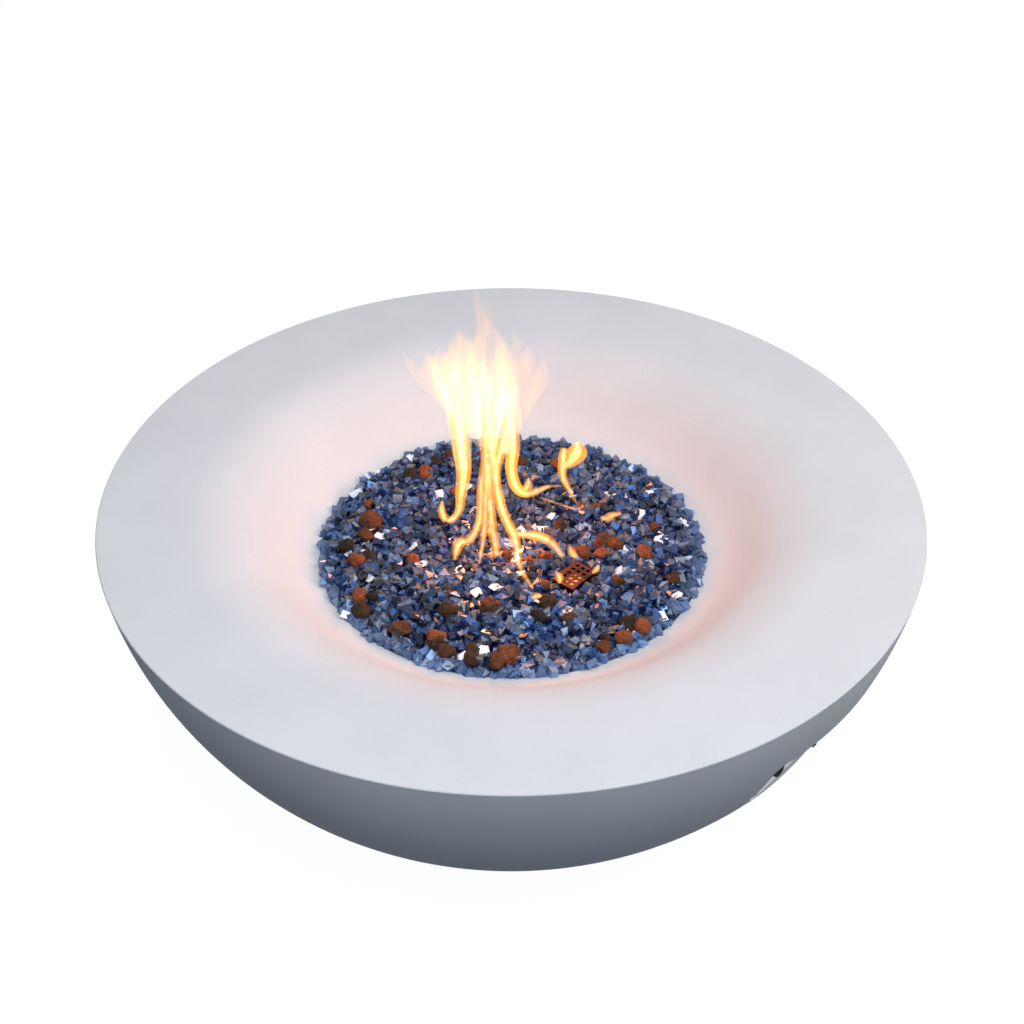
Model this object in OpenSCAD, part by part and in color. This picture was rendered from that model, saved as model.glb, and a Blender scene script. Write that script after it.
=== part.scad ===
// Gas fire pit bowl: a cast concrete bowl with a drop-in burner pan, a ring burner under
// lava rock and fire glass, a pilot under a perforated hood, and a control recess in the side.
// Millimetres. +Z is up, the origin is on the ground under the middle of the bowl,
// and -Y faces a person at the controls.

/* [Bowl] */
// Diameter of the rim
rim_d = 1070; // [1040:5:1110]
// Height of the rim above the ground
bowl_h = 350; // [335:1:370]
// Diameter of the base ring
base_d = 620; // [600:5:640]
// Width of the base ring
base_ring_w = 39; // [36:1:44]
// Height of the base ring's inner wall
base_ring_h = 32; // [28:1:40]
// Radius of the curved side, seen in section
side_r = 509; // [490:1:540]
// Thickness of the concrete
wall = 20; // [16:1:24]
// Width of the flat rim
lip_w = 115; // [105:1:125]
// Radius of the turn from the rim down into the dish
lip_round = 150; // [140:1:160]
// Steepest slope of the dish, in degrees
dish_slope = 42; // [40:0.5:44]
// Straight run of the dish at that slope
dish_run = 30; // [24:1:36]
// Radius of the turn from the slope to the bottom of the dish
dish_round = 110; // [100:1:120]
// Slope left where the dish meets the burner pan, in degrees
dish_toe = 8; // [6:0.5:10]
// Bevel on the outer edge of the rim
edge_bevel = 3; // [1:0.5:5]

/* [Feet] */
// Diameter of a rubber foot
foot_d = 28; // [22:1:30]
// Height of a rubber foot
foot_h = 8; // [6:1:12]
// Diameter of a foot screw
foot_screw_d = 5; // [4:0.5:6]
// Length of a foot screw in the concrete
foot_screw_len = 20; // [12:1:26]

/* [Hose notch] */
// Width of the notch in the back of the base
notch_w = 44; // [36:1:52]
// Height of the notch
notch_h = 34; // [28:1:40]

/* [Burner pan] */
// Width of the flange that rests on the dish
flange_w = 14; // [12:1:18]
// Depth of the pan under its flange
pan_depth = 72; // [66:1:80]
// Thickness of the pan's sheet
pan_t = 2; // [1.5:0.5:3]
// Thickness of the gasket under the flange
gasket_t = 1; // [0.5:0.5:2]
// Diameter of a pan screw
pan_screw_d = 5; // [4:0.5:6]
// Length of a pan screw in the concrete
pan_screw_len = 14; // [8:1:16]
// Diameter of a drain hole in the pan
drain_d = 8; // [5:1:10]

/* [Burner] */
// Radius of the outer burner ring
ring_out_r = 150; // [145:1:158]
// Radius of the inner burner ring
ring_in_r = 62; // [56:1:66]
// Diameter of the burner tube
tube_d = 19; // [16:1:21]
// Wall of the burner tube
tube_wall = 1.2; // [1:0.1:1.6]
// Diameter of the tubes that join the rings
spoke_d = 14; // [12:1:16]
// Diameter of the hub in the middle of the burner
hub_d = 52; // [46:1:58]
// Height of the tubes' centre line above the pan's floor
burner_rise = 30; // [26:1:34]
// Diameter of a flame port
port_d = 2.8; // [2:0.2:4]
// Flame ports in the outer ring
ports_out = 36; // [24:2:44]
// Flame ports in the inner ring
ports_in = 16; // [8:2:20]
// Outer diameter of the inlet nipple
nipple_d = 21.2; // [19:0.1:23]
// Bore of the inlet nipple
nipple_bore = 15.6; // [13:0.1:17]
// Height of the locknut under the pan
locknut_h = 8; // [6:1:10]
// Diameter of the air mixer
mixer_d = 32; // [28:1:36]
// Length of the air mixer
mixer_len = 50; // [44:1:60]
// Diameter of an air hole in the mixer
air_hole_d = 11; // [8:1:13]
// Diameter of the gas hose to the burner
hose_d = 12; // [10:1:13]

/* [Pilot] */
// Sideways place of the pilot
pilot_x = -6; // [-10:1:-2]
// Distance of the pilot in front of the middle
pilot_out = 112; // [108:1:116]
// Width of the hood
hood_w = 50; // [46:1:54]
// Depth of the hood, front to back
hood_l = 34; // [32:1:36]
// Height of the hood above the pan's floor
hood_h = 95; // [92:1:104]
// Thickness of the hood's sheet
hood_t = 1.2; // [1:0.1:1.5]
// Diameter of a hole in the hood's top
hood_hole_d = 5.6; // [4:0.2:6.4]
// Columns of holes in the hood's top
hood_cols = 5; // [3:1:5]
// Rows of holes in the hood's top
hood_rows = 3; // [2:1:3]
// Diameter of the thermocouple's tip
thermo_d = 4.6; // [4:0.2:5.4]
// Diameter of the electrode's ceramic
ceramic_d = 8; // [7:0.5:9]
// Diameter of the spark rod
spark_d = 2.4; // [2:0.1:3]

/* [Control recess] */
// Distance of the recess's flat face inside the rim
recess_inset = 85; // [79:1:90]
// Width of the recess
recess_w = 224; // [210:1:240]
// Height of the recess's ceiling above the controls
recess_rise = 80; // [72:1:86]
// Radius of the recess's upper corners
recess_round = 16; // [8:1:24]

/* [Controls] */
// Width of the control plate
plate_w = 172; // [168:1:180]
// Height of the control plate
plate_h = 52; // [50:1:56]
// Thickness of the control plate
plate_t = 2; // [1.5:0.5:3]
// Distance between the knob and the igniter
control_gap = 76; // [72:1:80]
// Diameter of a plate screw
plate_screw_d = 5; // [4:0.5:6]
// Diameter of the knob
knob_d = 34; // [32:1:36]
// Depth of the knob
knob_depth = 15; // [14:0.5:18]
// Free space behind the knob
knob_gap = 5; // [4.5:0.5:7]
// Travel of the knob when pushed
knob_push = 4; // [2:0.5:4]
// Depth of the knob's well in the control plate
knob_well = 12; // [10:1:14]
// Free space around the knob in its well
knob_room = 3; // [2.5:0.5:4]
// Diameter of the valve stem
stem_d = 8; // [6:0.5:9]
// Diameter of the valve body
valve_d = 28; // [26:1:30]
// Length of the valve body
valve_len = 66; // [62:1:74]
// Diameter of the gas inlet's thread
inlet_d = 15.88; // [14:0.01:16]
// Length of the gas inlet's thread
inlet_len = 14; // [10:1:18]
// Diameter of the igniter's barrel
barrel_d = 22; // [21:0.5:23]
// Length of the igniter's barrel behind the plate
barrel_len = 84; // [80:1:92]
// Diameter of the igniter button
button_d = 17.6; // [16.8:0.2:18]
// Height of the igniter button above its bezel
button_rise = 6.5; // [6:0.5:9]
// Diameter of the igniter button's head
button_head_d = 22; // [20:0.5:24]
// Travel of the igniter button
button_push = 4; // [2:0.5:4]

/* [Fire media] */
// Distance the glass reaches up the dish from the pan
glass_reach = 14; // [12:1:22]
// Rise of the glass from its edge to its level middle
glass_mound = 12; // [8:1:16]
// Unevenness of the glass
glass_rough = 3.5; // [2:0.5:5]
// Rings of facets in the glass
glass_rings = 20; // [16:1:22]
// Largest half width of a lava rock
rock_r = 18; // [14:1:20]

/* [Hidden] */
$fn = 96;

// Clearances
run_gap = 0.05;
fit_gap = 0.1;
seat_gap = 0.3;
loose_gap = 0.8;
drop_gap = 1.5;
cut = 1;

// Side of the bowl: one arc from the rim to the base ring
rim_r = rim_d / 2;
base_r = base_d / 2;
function arc_centre(top, low, r) =
  let (v = top - low, n = [-v[1], v[0]] / norm(v))
  (top + low) / 2 + n * sqrt(r * r - v * v / 4);
side_c = arc_centre([rim_r, bowl_h], [base_r, foot_h], side_r);
function side_z(r) = side_c[1] - sqrt(pow(side_r, 2) - pow(r - side_c[0], 2));
base_in_r = base_r - base_ring_w;
foot_ring_r = (base_r + base_in_r) / 2;
foot_count = 4;
foot_turn = 45;
foot_head_d = foot_screw_d + 4;
foot_sink_d = foot_head_d + 1;

// Dish: a turn over the lip, a straight slope and a turn to the burner pan
lip_r = rim_r - lip_w;
down_slope = [-cos(dish_slope), -sin(dish_slope)];
up_from_slope = [-sin(dish_slope), cos(dish_slope)];
lip_c = [lip_r, bowl_h - lip_round];
slope_top = lip_c + lip_round * up_from_slope;
slope_low = slope_top + dish_run * down_slope;
dish_c = slope_low + dish_round * up_from_slope;
toe_dir = [sin(dish_toe), -cos(dish_toe)];
toe = dish_c + dish_round * toe_dir;
function dish_z(r) = dish_c[1] - sqrt(pow(dish_round, 2) - pow(r - dish_c[0], 2));

// Burner pan, hung on a ledge so that its flange is flush with the dish
ledge_z = toe[1] - pan_t - gasket_t;
flange_r = toe[0] - loose_gap;
pan_r = flange_r - flange_w;
pan_in_r = pan_r - pan_t;
pan_hole_r = pan_r + drop_gap;
flange_top = toe[1];
floor_top = flange_top - pan_depth;
floor_low = floor_top - pan_t;
pan_screw_r = (pan_hole_r + flange_r) / 2;
pan_head_d = pan_screw_d + 4;
pan_screw_count = 4;
drain_count = 6;
drain_turn = 30;
drain_ring_r = (ring_out_r + tube_d / 2 + pan_in_r) / 2;

// Burner
tube_r = tube_d / 2;
burner_z = floor_top + burner_rise;
hub_r = hub_d / 2;
hub_skin = 3;
hub_socket = 16;
spoke_angles = [45, 135, 225, 315];
port_turn = 5;
nipple_r = nipple_d / 2;
nipple_end = 2;
nipple_in = hub_socket - nipple_end;
locknut_low = floor_low - locknut_h;
mixer_gap = 3;
mixer_top = locknut_low - mixer_gap;
mixer_low = mixer_top - mixer_len;
mixer_socket = 14;
elbow_stub_d = 18;
elbow_stub = 12;
elbow_size = 22;
elbow_z = mixer_low - elbow_size / 2;
elbow_leg = 12;
elbow_leg_d = hose_d + 4;
nut_over = 11;

// Pilot
pilot_y = -pilot_out;
probe_gap = 24;
thermo_x = pilot_x + probe_gap / 2;
spark_x = pilot_x - probe_gap / 2;
probe_hole_d = 12;
bracket_t = 1.5;
bracket_top = floor_top + bracket_t;
hood_top = floor_top + hood_h;
hood_tab = 14;
hood_pitch = 8.6;
hood_screw_d = 4;
hood_head_d = 7;
hood_head_h = 2.5;
hood_screw_drop = 8;
hood_screw_x = [for (s = [-1, 1]) pilot_x + s * (hood_w + hood_tab) / 2];
probe_collar = 6;
probe_collar_over = 4;
thermo_stub_d = 6;
thermo_drop = 14;
thermo_low = floor_low - thermo_drop;
thermo_room = 16;
thermo_top = hood_top - thermo_room;
ceramic_drop = 10;
ceramic_low = floor_low - ceramic_drop;
ceramic_room = 34;
ceramic_top = hood_top - ceramic_room;
spark_drop = 16;
spark_low = floor_low - spark_drop;
spark_room = 12;
spark_top = hood_top - spark_room;

// Controls: the plate sits on the recess's face, just above the face's lower edge
recess_face = rim_r - recess_inset;
face_y = -recess_face;
plate_rest = 1.5;
control_z = side_z(norm([recess_face, plate_w / 2])) + plate_rest + plate_h / 2;
recess_top = control_z + recess_rise;
recess_low = side_z(recess_face);
window_side = 20;
window_edge = 9;
window_w = plate_w - 2 * window_side;
window_h = plate_h - 2 * window_edge;
plate_screw_side = 9;
plate_screw_edge = 8;
plate_screw_x = plate_w / 2 - plate_screw_side;
plate_screw_z = plate_h / 2 - plate_screw_edge;
plate_screw_len = 14;
plate_head_d = plate_screw_d + 4;
plate_head_h = 3;
knob_x = control_gap / 2;
igniter_x = -control_gap / 2;
well_d = knob_d + 2 * knob_room;
well_out_d = well_d + 2 * plate_t;
valve_y = face_y + knob_well;

// Valve, in distances along its own axis out of the seat behind the well's floor
bushing_d = stem_d + 8;
valve_nut_h = 4;
valve_nut_d = bushing_d + 6;
bushing_out = plate_t + valve_nut_h + 2;
knob_back = plate_t + knob_gap;
knob_front = knob_back + knob_depth;
knob_skin = 2;
knob_rim = 3;
knob_web = 7;
knob_cavity = knob_depth - knob_web;
stem_in = -24;
stem_out = knob_front - knob_skin - seat_gap;
grip_h = 4;
grip_w = 7;
pointer_t = 0.6;
plunger_d = 6;
plunger_len = 22;
collar_d = 12;
collar_h = 4;
plunger_front = stem_in - fit_gap;
plunger_back = plunger_front - plunger_len;
valve_wire = 1.2;
valve_turns = 4;
chamber_d = collar_d + 1;
chamber_front = -20;
chamber_len = 20;
chamber_back = plunger_front - chamber_len;
guide_end = 4;
guide_back = plunger_back - knob_push - guide_end;
boss_out = valve_d / 2 + 4;
outlet_at = -45;
outlet_boss_d = 16;
outlet_hex_h = 8;
outlet_len = 8;
thermo_at = -52;
thermo_boss_d = 12;
thermo_nut_h = 8;
inlet_hex_h = 8;
inlet_hex_d = 22;
inlet_stub_d = 10;
inlet_stub = 6;
inlet_bore = 6;
inlet_tip = 4;

// Igniter, in distances out of the recess's face along its own axis
bezel_h = 3;
bezel_d = barrel_d + 6;
barrel_nut_h = 5;
barrel_nut_d = barrel_d + 5;
barrel_end = 2;
terminal_len = 6;
terminal_d = 5;
battery_d = 14.2;
battery_len = 50.5;
battery_cap_d = 5.5;
battery_cap_h = 1.5;
button_wire = 1;
button_turns = 6;
button_in = -6;
button_bore_in = button_in - button_push - 2;
button_top = plate_t + bezel_h + button_rise;
button_head = plate_t + bezel_h + button_push + seat_gap;
battery_back = -barrel_len + barrel_end + seat_gap;
battery_front = battery_back + battery_len;

// Corner radius of a hexagon, from its width across the flats
function hex_r(across) = across / sqrt(3);

// Fire media
glass_r = toe[0] + glass_reach;
glass_edge_z = dish_z(glass_r) + seat_gap;
fill_cover = 4;
fill_top = burner_z + tube_r + fill_cover;
glass_low = fill_top + seat_gap;
glass_slope = 0.28;
stone_reach = 1.1;
rock_margin = 1.3 * rock_r;
hood_clear = 1;

// Hose and lead routes between the fittings they join. Each bend is [share of the way, share of
// the route's bulge to the side, share of its sag].
function between(a, b, bulge, sag, bends) =
  [for (k = bends) a + (b - a) * k[0] + [bulge * k[1], 0, -sag * k[2]]];
hose_bulge = 90;
hose_sag = 15;
hose_straight = 20;
hose_start = [knob_x + boss_out + outlet_hex_h + outlet_len + seat_gap, valve_y - outlet_at, control_z];
hose_end = [0, -elbow_size / 2 - elbow_leg - seat_gap, elbow_z];
hose_route = concat(
  [hose_start, hose_start + [hose_straight, 0, 0]],
  between(hose_start, hose_end, hose_bulge, hose_sag, [[0.034, 0.61, 0.13], [0.144, 0.96, 0.33],
    [0.3, 1, 0.73], [0.485, 0.79, 1], [0.67, 0.44, 1], [0.82, 0.1, 0.8]]),
  [hose_end - [0, hose_straight, 0], hose_end]);
lead_straight = 11;
thermo_sag = 42;
thermo_start = [knob_x, valve_y - thermo_at, control_z - boss_out - thermo_nut_h - seat_gap];
thermo_end = [thermo_x, pilot_y, thermo_low - seat_gap];
thermo_route = concat(
  [thermo_start, thermo_start - [0, 0, lead_straight]],
  between(thermo_start, thermo_end, 0, thermo_sag, [[0.06, 0, 0.62], [0.226, 0, 0.88], [0.492, 0, 1],
    [0.757, 0, 0.98], [0.93, 0, 0.69]]),
  [thermo_end - [0, 0, lead_straight], thermo_end]);
igniter_bulge = -15;
igniter_sag = 42;
igniter_start = [igniter_x, face_y + barrel_len + terminal_len + seat_gap, control_z];
igniter_end = [spark_x, pilot_y, spark_low - seat_gap];
igniter_route = concat(
  [igniter_start, igniter_start + [0, lead_straight, 0]],
  between(igniter_start, igniter_end, igniter_bulge, igniter_sag, [[0.19, 0.6, 0.31], [0.456, 1, 0.83],
    [0.722, 0.6, 1], [0.92, 0.07, 0.74]]),
  [igniter_end - [0, 0, lead_straight], igniter_end]);
thermo_lead_d = 3;
igniter_lead_d = 4;

// Points of a smooth curve through a route
function bend(a, b, c, d, t) =
  0.5 * (2 * b + (c - a) * t + (2 * a - 5 * b + 4 * c - d) * t * t
  + (3 * b - a - 3 * c + d) * t * t * t);
function smooth(p, steps) = concat(
  [for (i = [0 : len(p) - 2], j = [0 : steps - 1])
    bend(p[max(i - 1, 0)], p[i], p[i + 1], p[min(i + 2, len(p) - 1)], j / steps)],
  [p[len(p) - 1]]);

function unit(v) = v / norm(v);
function heading(p, i) = unit(p[min(i + 1, len(p) - 1)] - p[max(i - 1, 0)]);
function ring_of(c, t, side, r, n) =
  let (u = unit(cross(t, side)), w = cross(t, u))
  [for (k = [0 : n - 1]) c + r * (cos(360 * k / n) * u + sin(360 * k / n) * w)];

// One closed tube along a path; side is a direction that the path never takes
module tube_along(path, d, side, n) {
  m = len(path);
  points = [for (i = [0 : m - 1]) each ring_of(path[i], heading(path, i), side, d / 2, n)];
  walls = [for (i = [0 : m - 2], k = [0 : n - 1])
    let (a = i * n + k, b = i * n + (k + 1) % n)
    each [[a, a + n, b + n], [a, b + n, b]]];
  first = [for (k = [1 : n - 2]) [0, k, k + 1]];
  last = [for (k = [1 : n - 2]) [(m - 1) * n, (m - 1) * n + k + 1, (m - 1) * n + k]];
  polyhedron(points, concat(walls, first, last), convexity = 8);
}

// A coil spring along +Z from 0 to length
module coil(d, wire, length, turns) {
  steps = turns * 10;
  path = [for (i = [0 : steps])
    [(d - wire) / 2 * cos(36 * i), (d - wire) / 2 * sin(36 * i), wire / 2 + (length - wire) * i / steps]];
  tube_along(path, wire, [0, 0, 1], 6);
}

// Places a part on the recess's face: its own +Z points out at the user
module on_face(x) {
  translate([x, face_y, control_z]) rotate([90, 0, 0]) children();
}

// Places a part of the valve, which sits behind the floor of the knob's well
module on_valve() {
  translate([knob_x, valve_y, control_z]) rotate([90, 0, 0]) children();
}

// A cylinder between two heights on its own axis
module bar(d, from, to) {
  translate([0, 0, from]) cylinder(d = d, h = to - from);
}

// A hexagon nut or collar between two heights
module hex_bar(across, from, to) {
  translate([0, 0, from]) cylinder(r = hex_r(across), h = to - from, $fn = 6);
}

// Repeats a part at equal angles round the middle
module around(count, radius, turn) {
  for (i = [0 : count - 1]) rotate(turn + 360 * i / count) translate([radius, 0, 0]) children();
}

// Section of the dish above the concrete
module dish_section() {
  difference() {
    polygon([[0, bowl_h + cut], [lip_r, bowl_h + cut], [lip_r, bowl_h], slope_top, slope_low, toe,
      [0, toe[1]]]);
    translate(lip_c) circle(lip_round);
  }
  translate(dish_c) circle(dish_round);
  translate([0, ledge_z]) square([toe[0], pan_t + gasket_t + cut]);
}

// Section of the solid bowl before it is hollowed
module bowl_section() {
  difference() {
    intersection() {
      translate(side_c) circle(side_r);
      translate([pan_hole_r, foot_h]) square([rim_r, bowl_h - foot_h]);
    }
    dish_section();
    polygon([[rim_r - edge_bevel, bowl_h + cut / 2], [rim_r + cut, bowl_h + cut / 2],
      [rim_r + cut, bowl_h - edge_bevel]]);
  }
}

// Section of the hollow under the dish
module hollow_section() {
  under = lip_round - wall;
  over = dish_round + wall;
  intersection() {
    difference() {
      translate(side_c) circle(side_r - wall);
      translate([base_in_r, 0]) square([rim_r, foot_h + base_ring_h]);
    }
    difference() {
      union() {
        polygon([[0, foot_h - cut], [rim_r, foot_h - cut], [rim_r, bowl_h - wall], [lip_r, bowl_h - wall],
          lip_c + under * up_from_slope, dish_c - over * up_from_slope, dish_c + over * toe_dir,
          [0, (dish_c + over * toe_dir)[1]]]);
        translate(lip_c) circle(under);
      }
      translate(dish_c) circle(over);
    }
  }
}

// Outline of the recess, with round upper corners
module recess_outline() {
  low = recess_low - wall - control_z;
  translate([-recess_w / 2, low]) square([recess_w, recess_rise - recess_round - low]);
  translate([recess_round - recess_w / 2, low]) square([recess_w - 2 * recess_round, recess_rise - low]);
  for (s = [-1, 1]) translate([s * (recess_w / 2 - recess_round), recess_rise - recess_round])
    circle(recess_round);
}

module bowl_shell() color("gainsboro") difference() {
  rotate_extrude() bowl_section();
  difference() {
    rotate_extrude() hollow_section();
    translate([-recess_w / 2 - wall, -rim_r, recess_low - wall])
      cube([recess_w + 2 * wall, rim_r - recess_face + wall, recess_top + 2 * wall - recess_low]);
  }
  on_face(0) linear_extrude(rim_r) recess_outline();
  on_face(0) translate([-window_w / 2, -window_h / 2, -wall - cut])
    cube([window_w, window_h, wall + 2 * cut]);
  on_face(knob_x) bar(well_out_d + 2 * seat_gap, -wall - cut, cut);
  on_face(0) for (x = [-1, 1], z = [-1, 1]) translate([x * plate_screw_x, z * plate_screw_z, 0])
    bar(plate_screw_d + 2 * fit_gap, -plate_screw_len - cut, cut);
  around(pan_screw_count, pan_screw_r, 0)
    bar(pan_screw_d + 2 * fit_gap, ledge_z - pan_screw_len - cut, ledge_z + cut);
  around(foot_count, foot_ring_r, foot_turn)
    bar(foot_screw_d + 2 * fit_gap, foot_h - cut, foot_h + foot_screw_len + cut);
  translate([0, rim_r, foot_h]) rotate([90, 0, 0]) linear_extrude(rim_r) {
    translate([0, notch_h - notch_w / 2]) circle(d = notch_w);
    translate([-notch_w / 2, -cut]) square([notch_w, notch_h - notch_w / 2 + cut]);
  }
}

module rubber_feet() color("dimgray") around(foot_count, foot_ring_r, foot_turn) difference() {
  bar(foot_d, 0, foot_h);
  bar(foot_screw_d + 2 * fit_gap, -cut, foot_h + cut);
  bar(foot_sink_d, -cut, foot_h / 2);
}

module foot_screws() color("silver") around(foot_count, foot_ring_r, foot_turn) {
  bar(foot_screw_d, foot_h / 2, foot_h + foot_screw_len);
  bar(foot_head_d, foot_h / 4, foot_h / 2);
}

module burner_pan() color("darkgray") difference() {
  rotate_extrude() polygon([[nipple_r + seat_gap, floor_low], [pan_r, floor_low],
    [pan_r, flange_top - pan_t], [flange_r, flange_top - pan_t], [flange_r, flange_top],
    [pan_in_r, flange_top], [pan_in_r, floor_top], [nipple_r + seat_gap, floor_top]]);
  around(pan_screw_count, pan_screw_r, 0) pan_screw_shape(fit_gap, cut);
  around(drain_count, drain_ring_r, drain_turn) bar(drain_d, floor_low - cut, floor_top + cut);
  for (x = [thermo_x, spark_x]) translate([x, pilot_y, 0])
    bar(probe_hole_d, floor_low - cut, floor_top + cut);
  for (x = hood_screw_x) translate([x, pilot_y, 0])
    bar(hood_screw_d + 2 * fit_gap, floor_low - cut, floor_top + cut);
}

// A countersunk screw, flush with the flange; grow makes the hole it sits in
module pan_screw_shape(grow, extra) {
  translate([0, 0, flange_top - pan_t])
    cylinder(d1 = pan_screw_d + 2 * grow, d2 = pan_head_d + 2 * grow, h = pan_t);
  bar(pan_screw_d + 2 * grow, ledge_z - pan_screw_len - extra, flange_top - pan_t + cut / 2);
}

module pan_gasket() color("whitesmoke") difference() {
  bar(2 * flange_r, ledge_z, ledge_z + gasket_t);
  bar(2 * (pan_r + loose_gap), ledge_z - cut, ledge_z + gasket_t + cut);
  around(pan_screw_count, pan_screw_r, 0)
    bar(pan_screw_d + 2 * fit_gap, ledge_z - cut, ledge_z + gasket_t + cut);
}

module pan_screws() color("silver") around(pan_screw_count, pan_screw_r, 0) pan_screw_shape(0, 0);

// The burner's rings, spokes and hub, as solid bars of the given sizes
module burner_form(ring_d, bar_d, hub_from, hub_to, hub_size) {
  for (r = [ring_out_r, ring_in_r])
    translate([0, 0, burner_z]) rotate_extrude() translate([r, 0]) circle(d = ring_d);
  for (a = spoke_angles)
    translate([0, 0, burner_z]) rotate([0, 90, a]) cylinder(d = bar_d, h = ring_out_r);
  bar(hub_size, hub_from, hub_to);
}

module burner_ring() color("silver") difference() {
  burner_form(tube_d, spoke_d, floor_top, burner_z + tube_r, hub_d);
  burner_form(tube_d - 2 * tube_wall, spoke_d - 2 * tube_wall, floor_top + hub_socket + hub_skin,
    burner_z + tube_r - hub_skin, hub_d - 2 * hub_skin);
  bar(2 * (nipple_r + fit_gap), floor_top - cut, floor_top + hub_socket);
  bar(nipple_bore, floor_top, burner_z);
  around(ports_out, ring_out_r, port_turn) bar(port_d, burner_z, burner_z + tube_d);
  around(ports_in, ring_in_r, port_turn) bar(port_d, burner_z, burner_z + tube_d);
}

module burner_nipple() color("goldenrod") difference() {
  bar(nipple_d, mixer_top - mixer_socket + cut, floor_top + nipple_in);
  bar(nipple_bore, mixer_low, floor_top + hub_socket);
}

module burner_locknut() color("goldenrod") difference() {
  hex_bar(nipple_d + nut_over, locknut_low, floor_low);
  bar(nipple_d + 2 * fit_gap, locknut_low - cut, floor_low + cut);
}

module air_mixer() color("goldenrod") difference() {
  bar(mixer_d, mixer_low, mixer_top);
  bar(nipple_d + 2 * fit_gap, mixer_top - mixer_socket, mixer_top + cut);
  bar(nipple_bore, mixer_low + elbow_stub, mixer_top);
  bar(elbow_stub_d + 2 * fit_gap, mixer_low - cut, mixer_low + elbow_stub + cut / 2);
  for (a = [0, 90]) translate([0, 0, mixer_low + mixer_len / 2]) rotate([90, 0, a])
    cylinder(d = air_hole_d, h = mixer_d + 2 * cut, center = true);
}

module orifice_elbow() color("goldenrod") {
  bore = hose_d / 2;
  difference() {
    union() {
      translate([0, 0, elbow_z]) cube(elbow_size, center = true);
      bar(elbow_stub_d, elbow_z, mixer_low + elbow_stub - seat_gap);
      translate([0, 0, elbow_z]) rotate([90, 0, 0])
        cylinder(d = elbow_leg_d, h = elbow_size / 2 + elbow_leg);
    }
    translate([0, 0, elbow_z]) rotate([90, 0, 0]) cylinder(d = bore, h = elbow_size + elbow_leg);
    bar(bore / 3, elbow_z, mixer_low + elbow_stub + cut);
  }
}

module burner_hose() color("slategray") tube_along(smooth(hose_route, 4), hose_d, [0, 0, 1], 10);

module pilot_bracket() color("silver") difference() {
  side_gap = hood_t + loose_gap;
  translate([pilot_x, pilot_y, floor_top + bracket_t / 2])
    cube([hood_w - 2 * side_gap, hood_l - 2 * side_gap, bracket_t], center = true);
  translate([thermo_x, pilot_y, 0]) bar(thermo_stub_d + 2 * fit_gap, floor_top - cut, bracket_top + cut);
  translate([spark_x, pilot_y, 0]) bar(ceramic_d + 2 * fit_gap, floor_top - cut, bracket_top + cut);
}

module pilot_hood() color("sienna") translate([pilot_x, pilot_y, 0]) difference() {
  union() {
    translate([-hood_w / 2, -hood_l / 2, floor_top]) cube([hood_w, hood_l, hood_h]);
    translate([-hood_w / 2 - hood_tab, -hood_l / 2 + hood_tab / 2, floor_top])
      cube([hood_w + 2 * hood_tab, hood_l - hood_tab, hood_t]);
  }
  translate([-hood_w / 2 + hood_t, -hood_l / 2 + hood_t, floor_top - cut])
    cube([hood_w - 2 * hood_t, hood_l - 2 * hood_t, hood_h - hood_t + cut]);
  for (i = [0 : hood_cols - 1], j = [0 : hood_rows - 1])
    translate([(i - (hood_cols - 1) / 2) * hood_pitch, (j - (hood_rows - 1) / 2) * hood_pitch, 0])
      bar(hood_hole_d, hood_top - hood_t - cut, hood_top + cut);
  for (i = [0 : hood_cols - 1])
    translate([(i - (hood_cols - 1) / 2) * hood_pitch, 0, hood_top - hood_h / 2]) rotate([90, 0, 0])
      cylinder(d = hood_hole_d, h = hood_l + 2 * cut, center = true);
  for (s = [-1, 1]) translate([s * (hood_w + hood_tab) / 2, 0, 0])
    bar(hood_screw_d + 2 * fit_gap, floor_top - cut, floor_top + hood_t + cut);
}

module hood_screws() color("silver") for (x = hood_screw_x) translate([x, pilot_y, 0]) {
  bar(hood_screw_d, floor_low - hood_screw_drop, floor_top + hood_t);
  bar(hood_head_d, floor_top + hood_t, floor_top + hood_t + hood_head_h);
}

module thermocouple() color("peru") translate([thermo_x, pilot_y, 0]) {
  bar(thermo_stub_d, thermo_low, bracket_top);
  hex_bar(thermo_stub_d + probe_collar_over, bracket_top, bracket_top + probe_collar);
  bar(thermo_d, bracket_top + probe_collar, thermo_top);
}

module thermocouple_lead() color("peru") tube_along(smooth(thermo_route, 4), thermo_lead_d, [1, 0, 0], 8);

module thermocouple_nut() color("goldenrod") translate([knob_x, valve_y - thermo_at, control_z])
  hex_bar(thermo_boss_d, -boss_out - thermo_nut_h, -boss_out);

module electrode_ceramic() color("ivory") translate([spark_x, pilot_y, 0]) difference() {
  union() {
    bar(ceramic_d, ceramic_low, ceramic_top);
    bar(ceramic_d + probe_collar_over, bracket_top, bracket_top + probe_collar);
  }
  bar(spark_d + 2 * fit_gap, ceramic_low - cut, hood_top);
}

module spark_rod() color("dimgray") translate([spark_x, pilot_y, 0]) bar(spark_d, spark_low, spark_top);

module igniter_lead() color("firebrick") tube_along(smooth(igniter_route, 4), igniter_lead_d, [1, 0, 0], 8);

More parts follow.
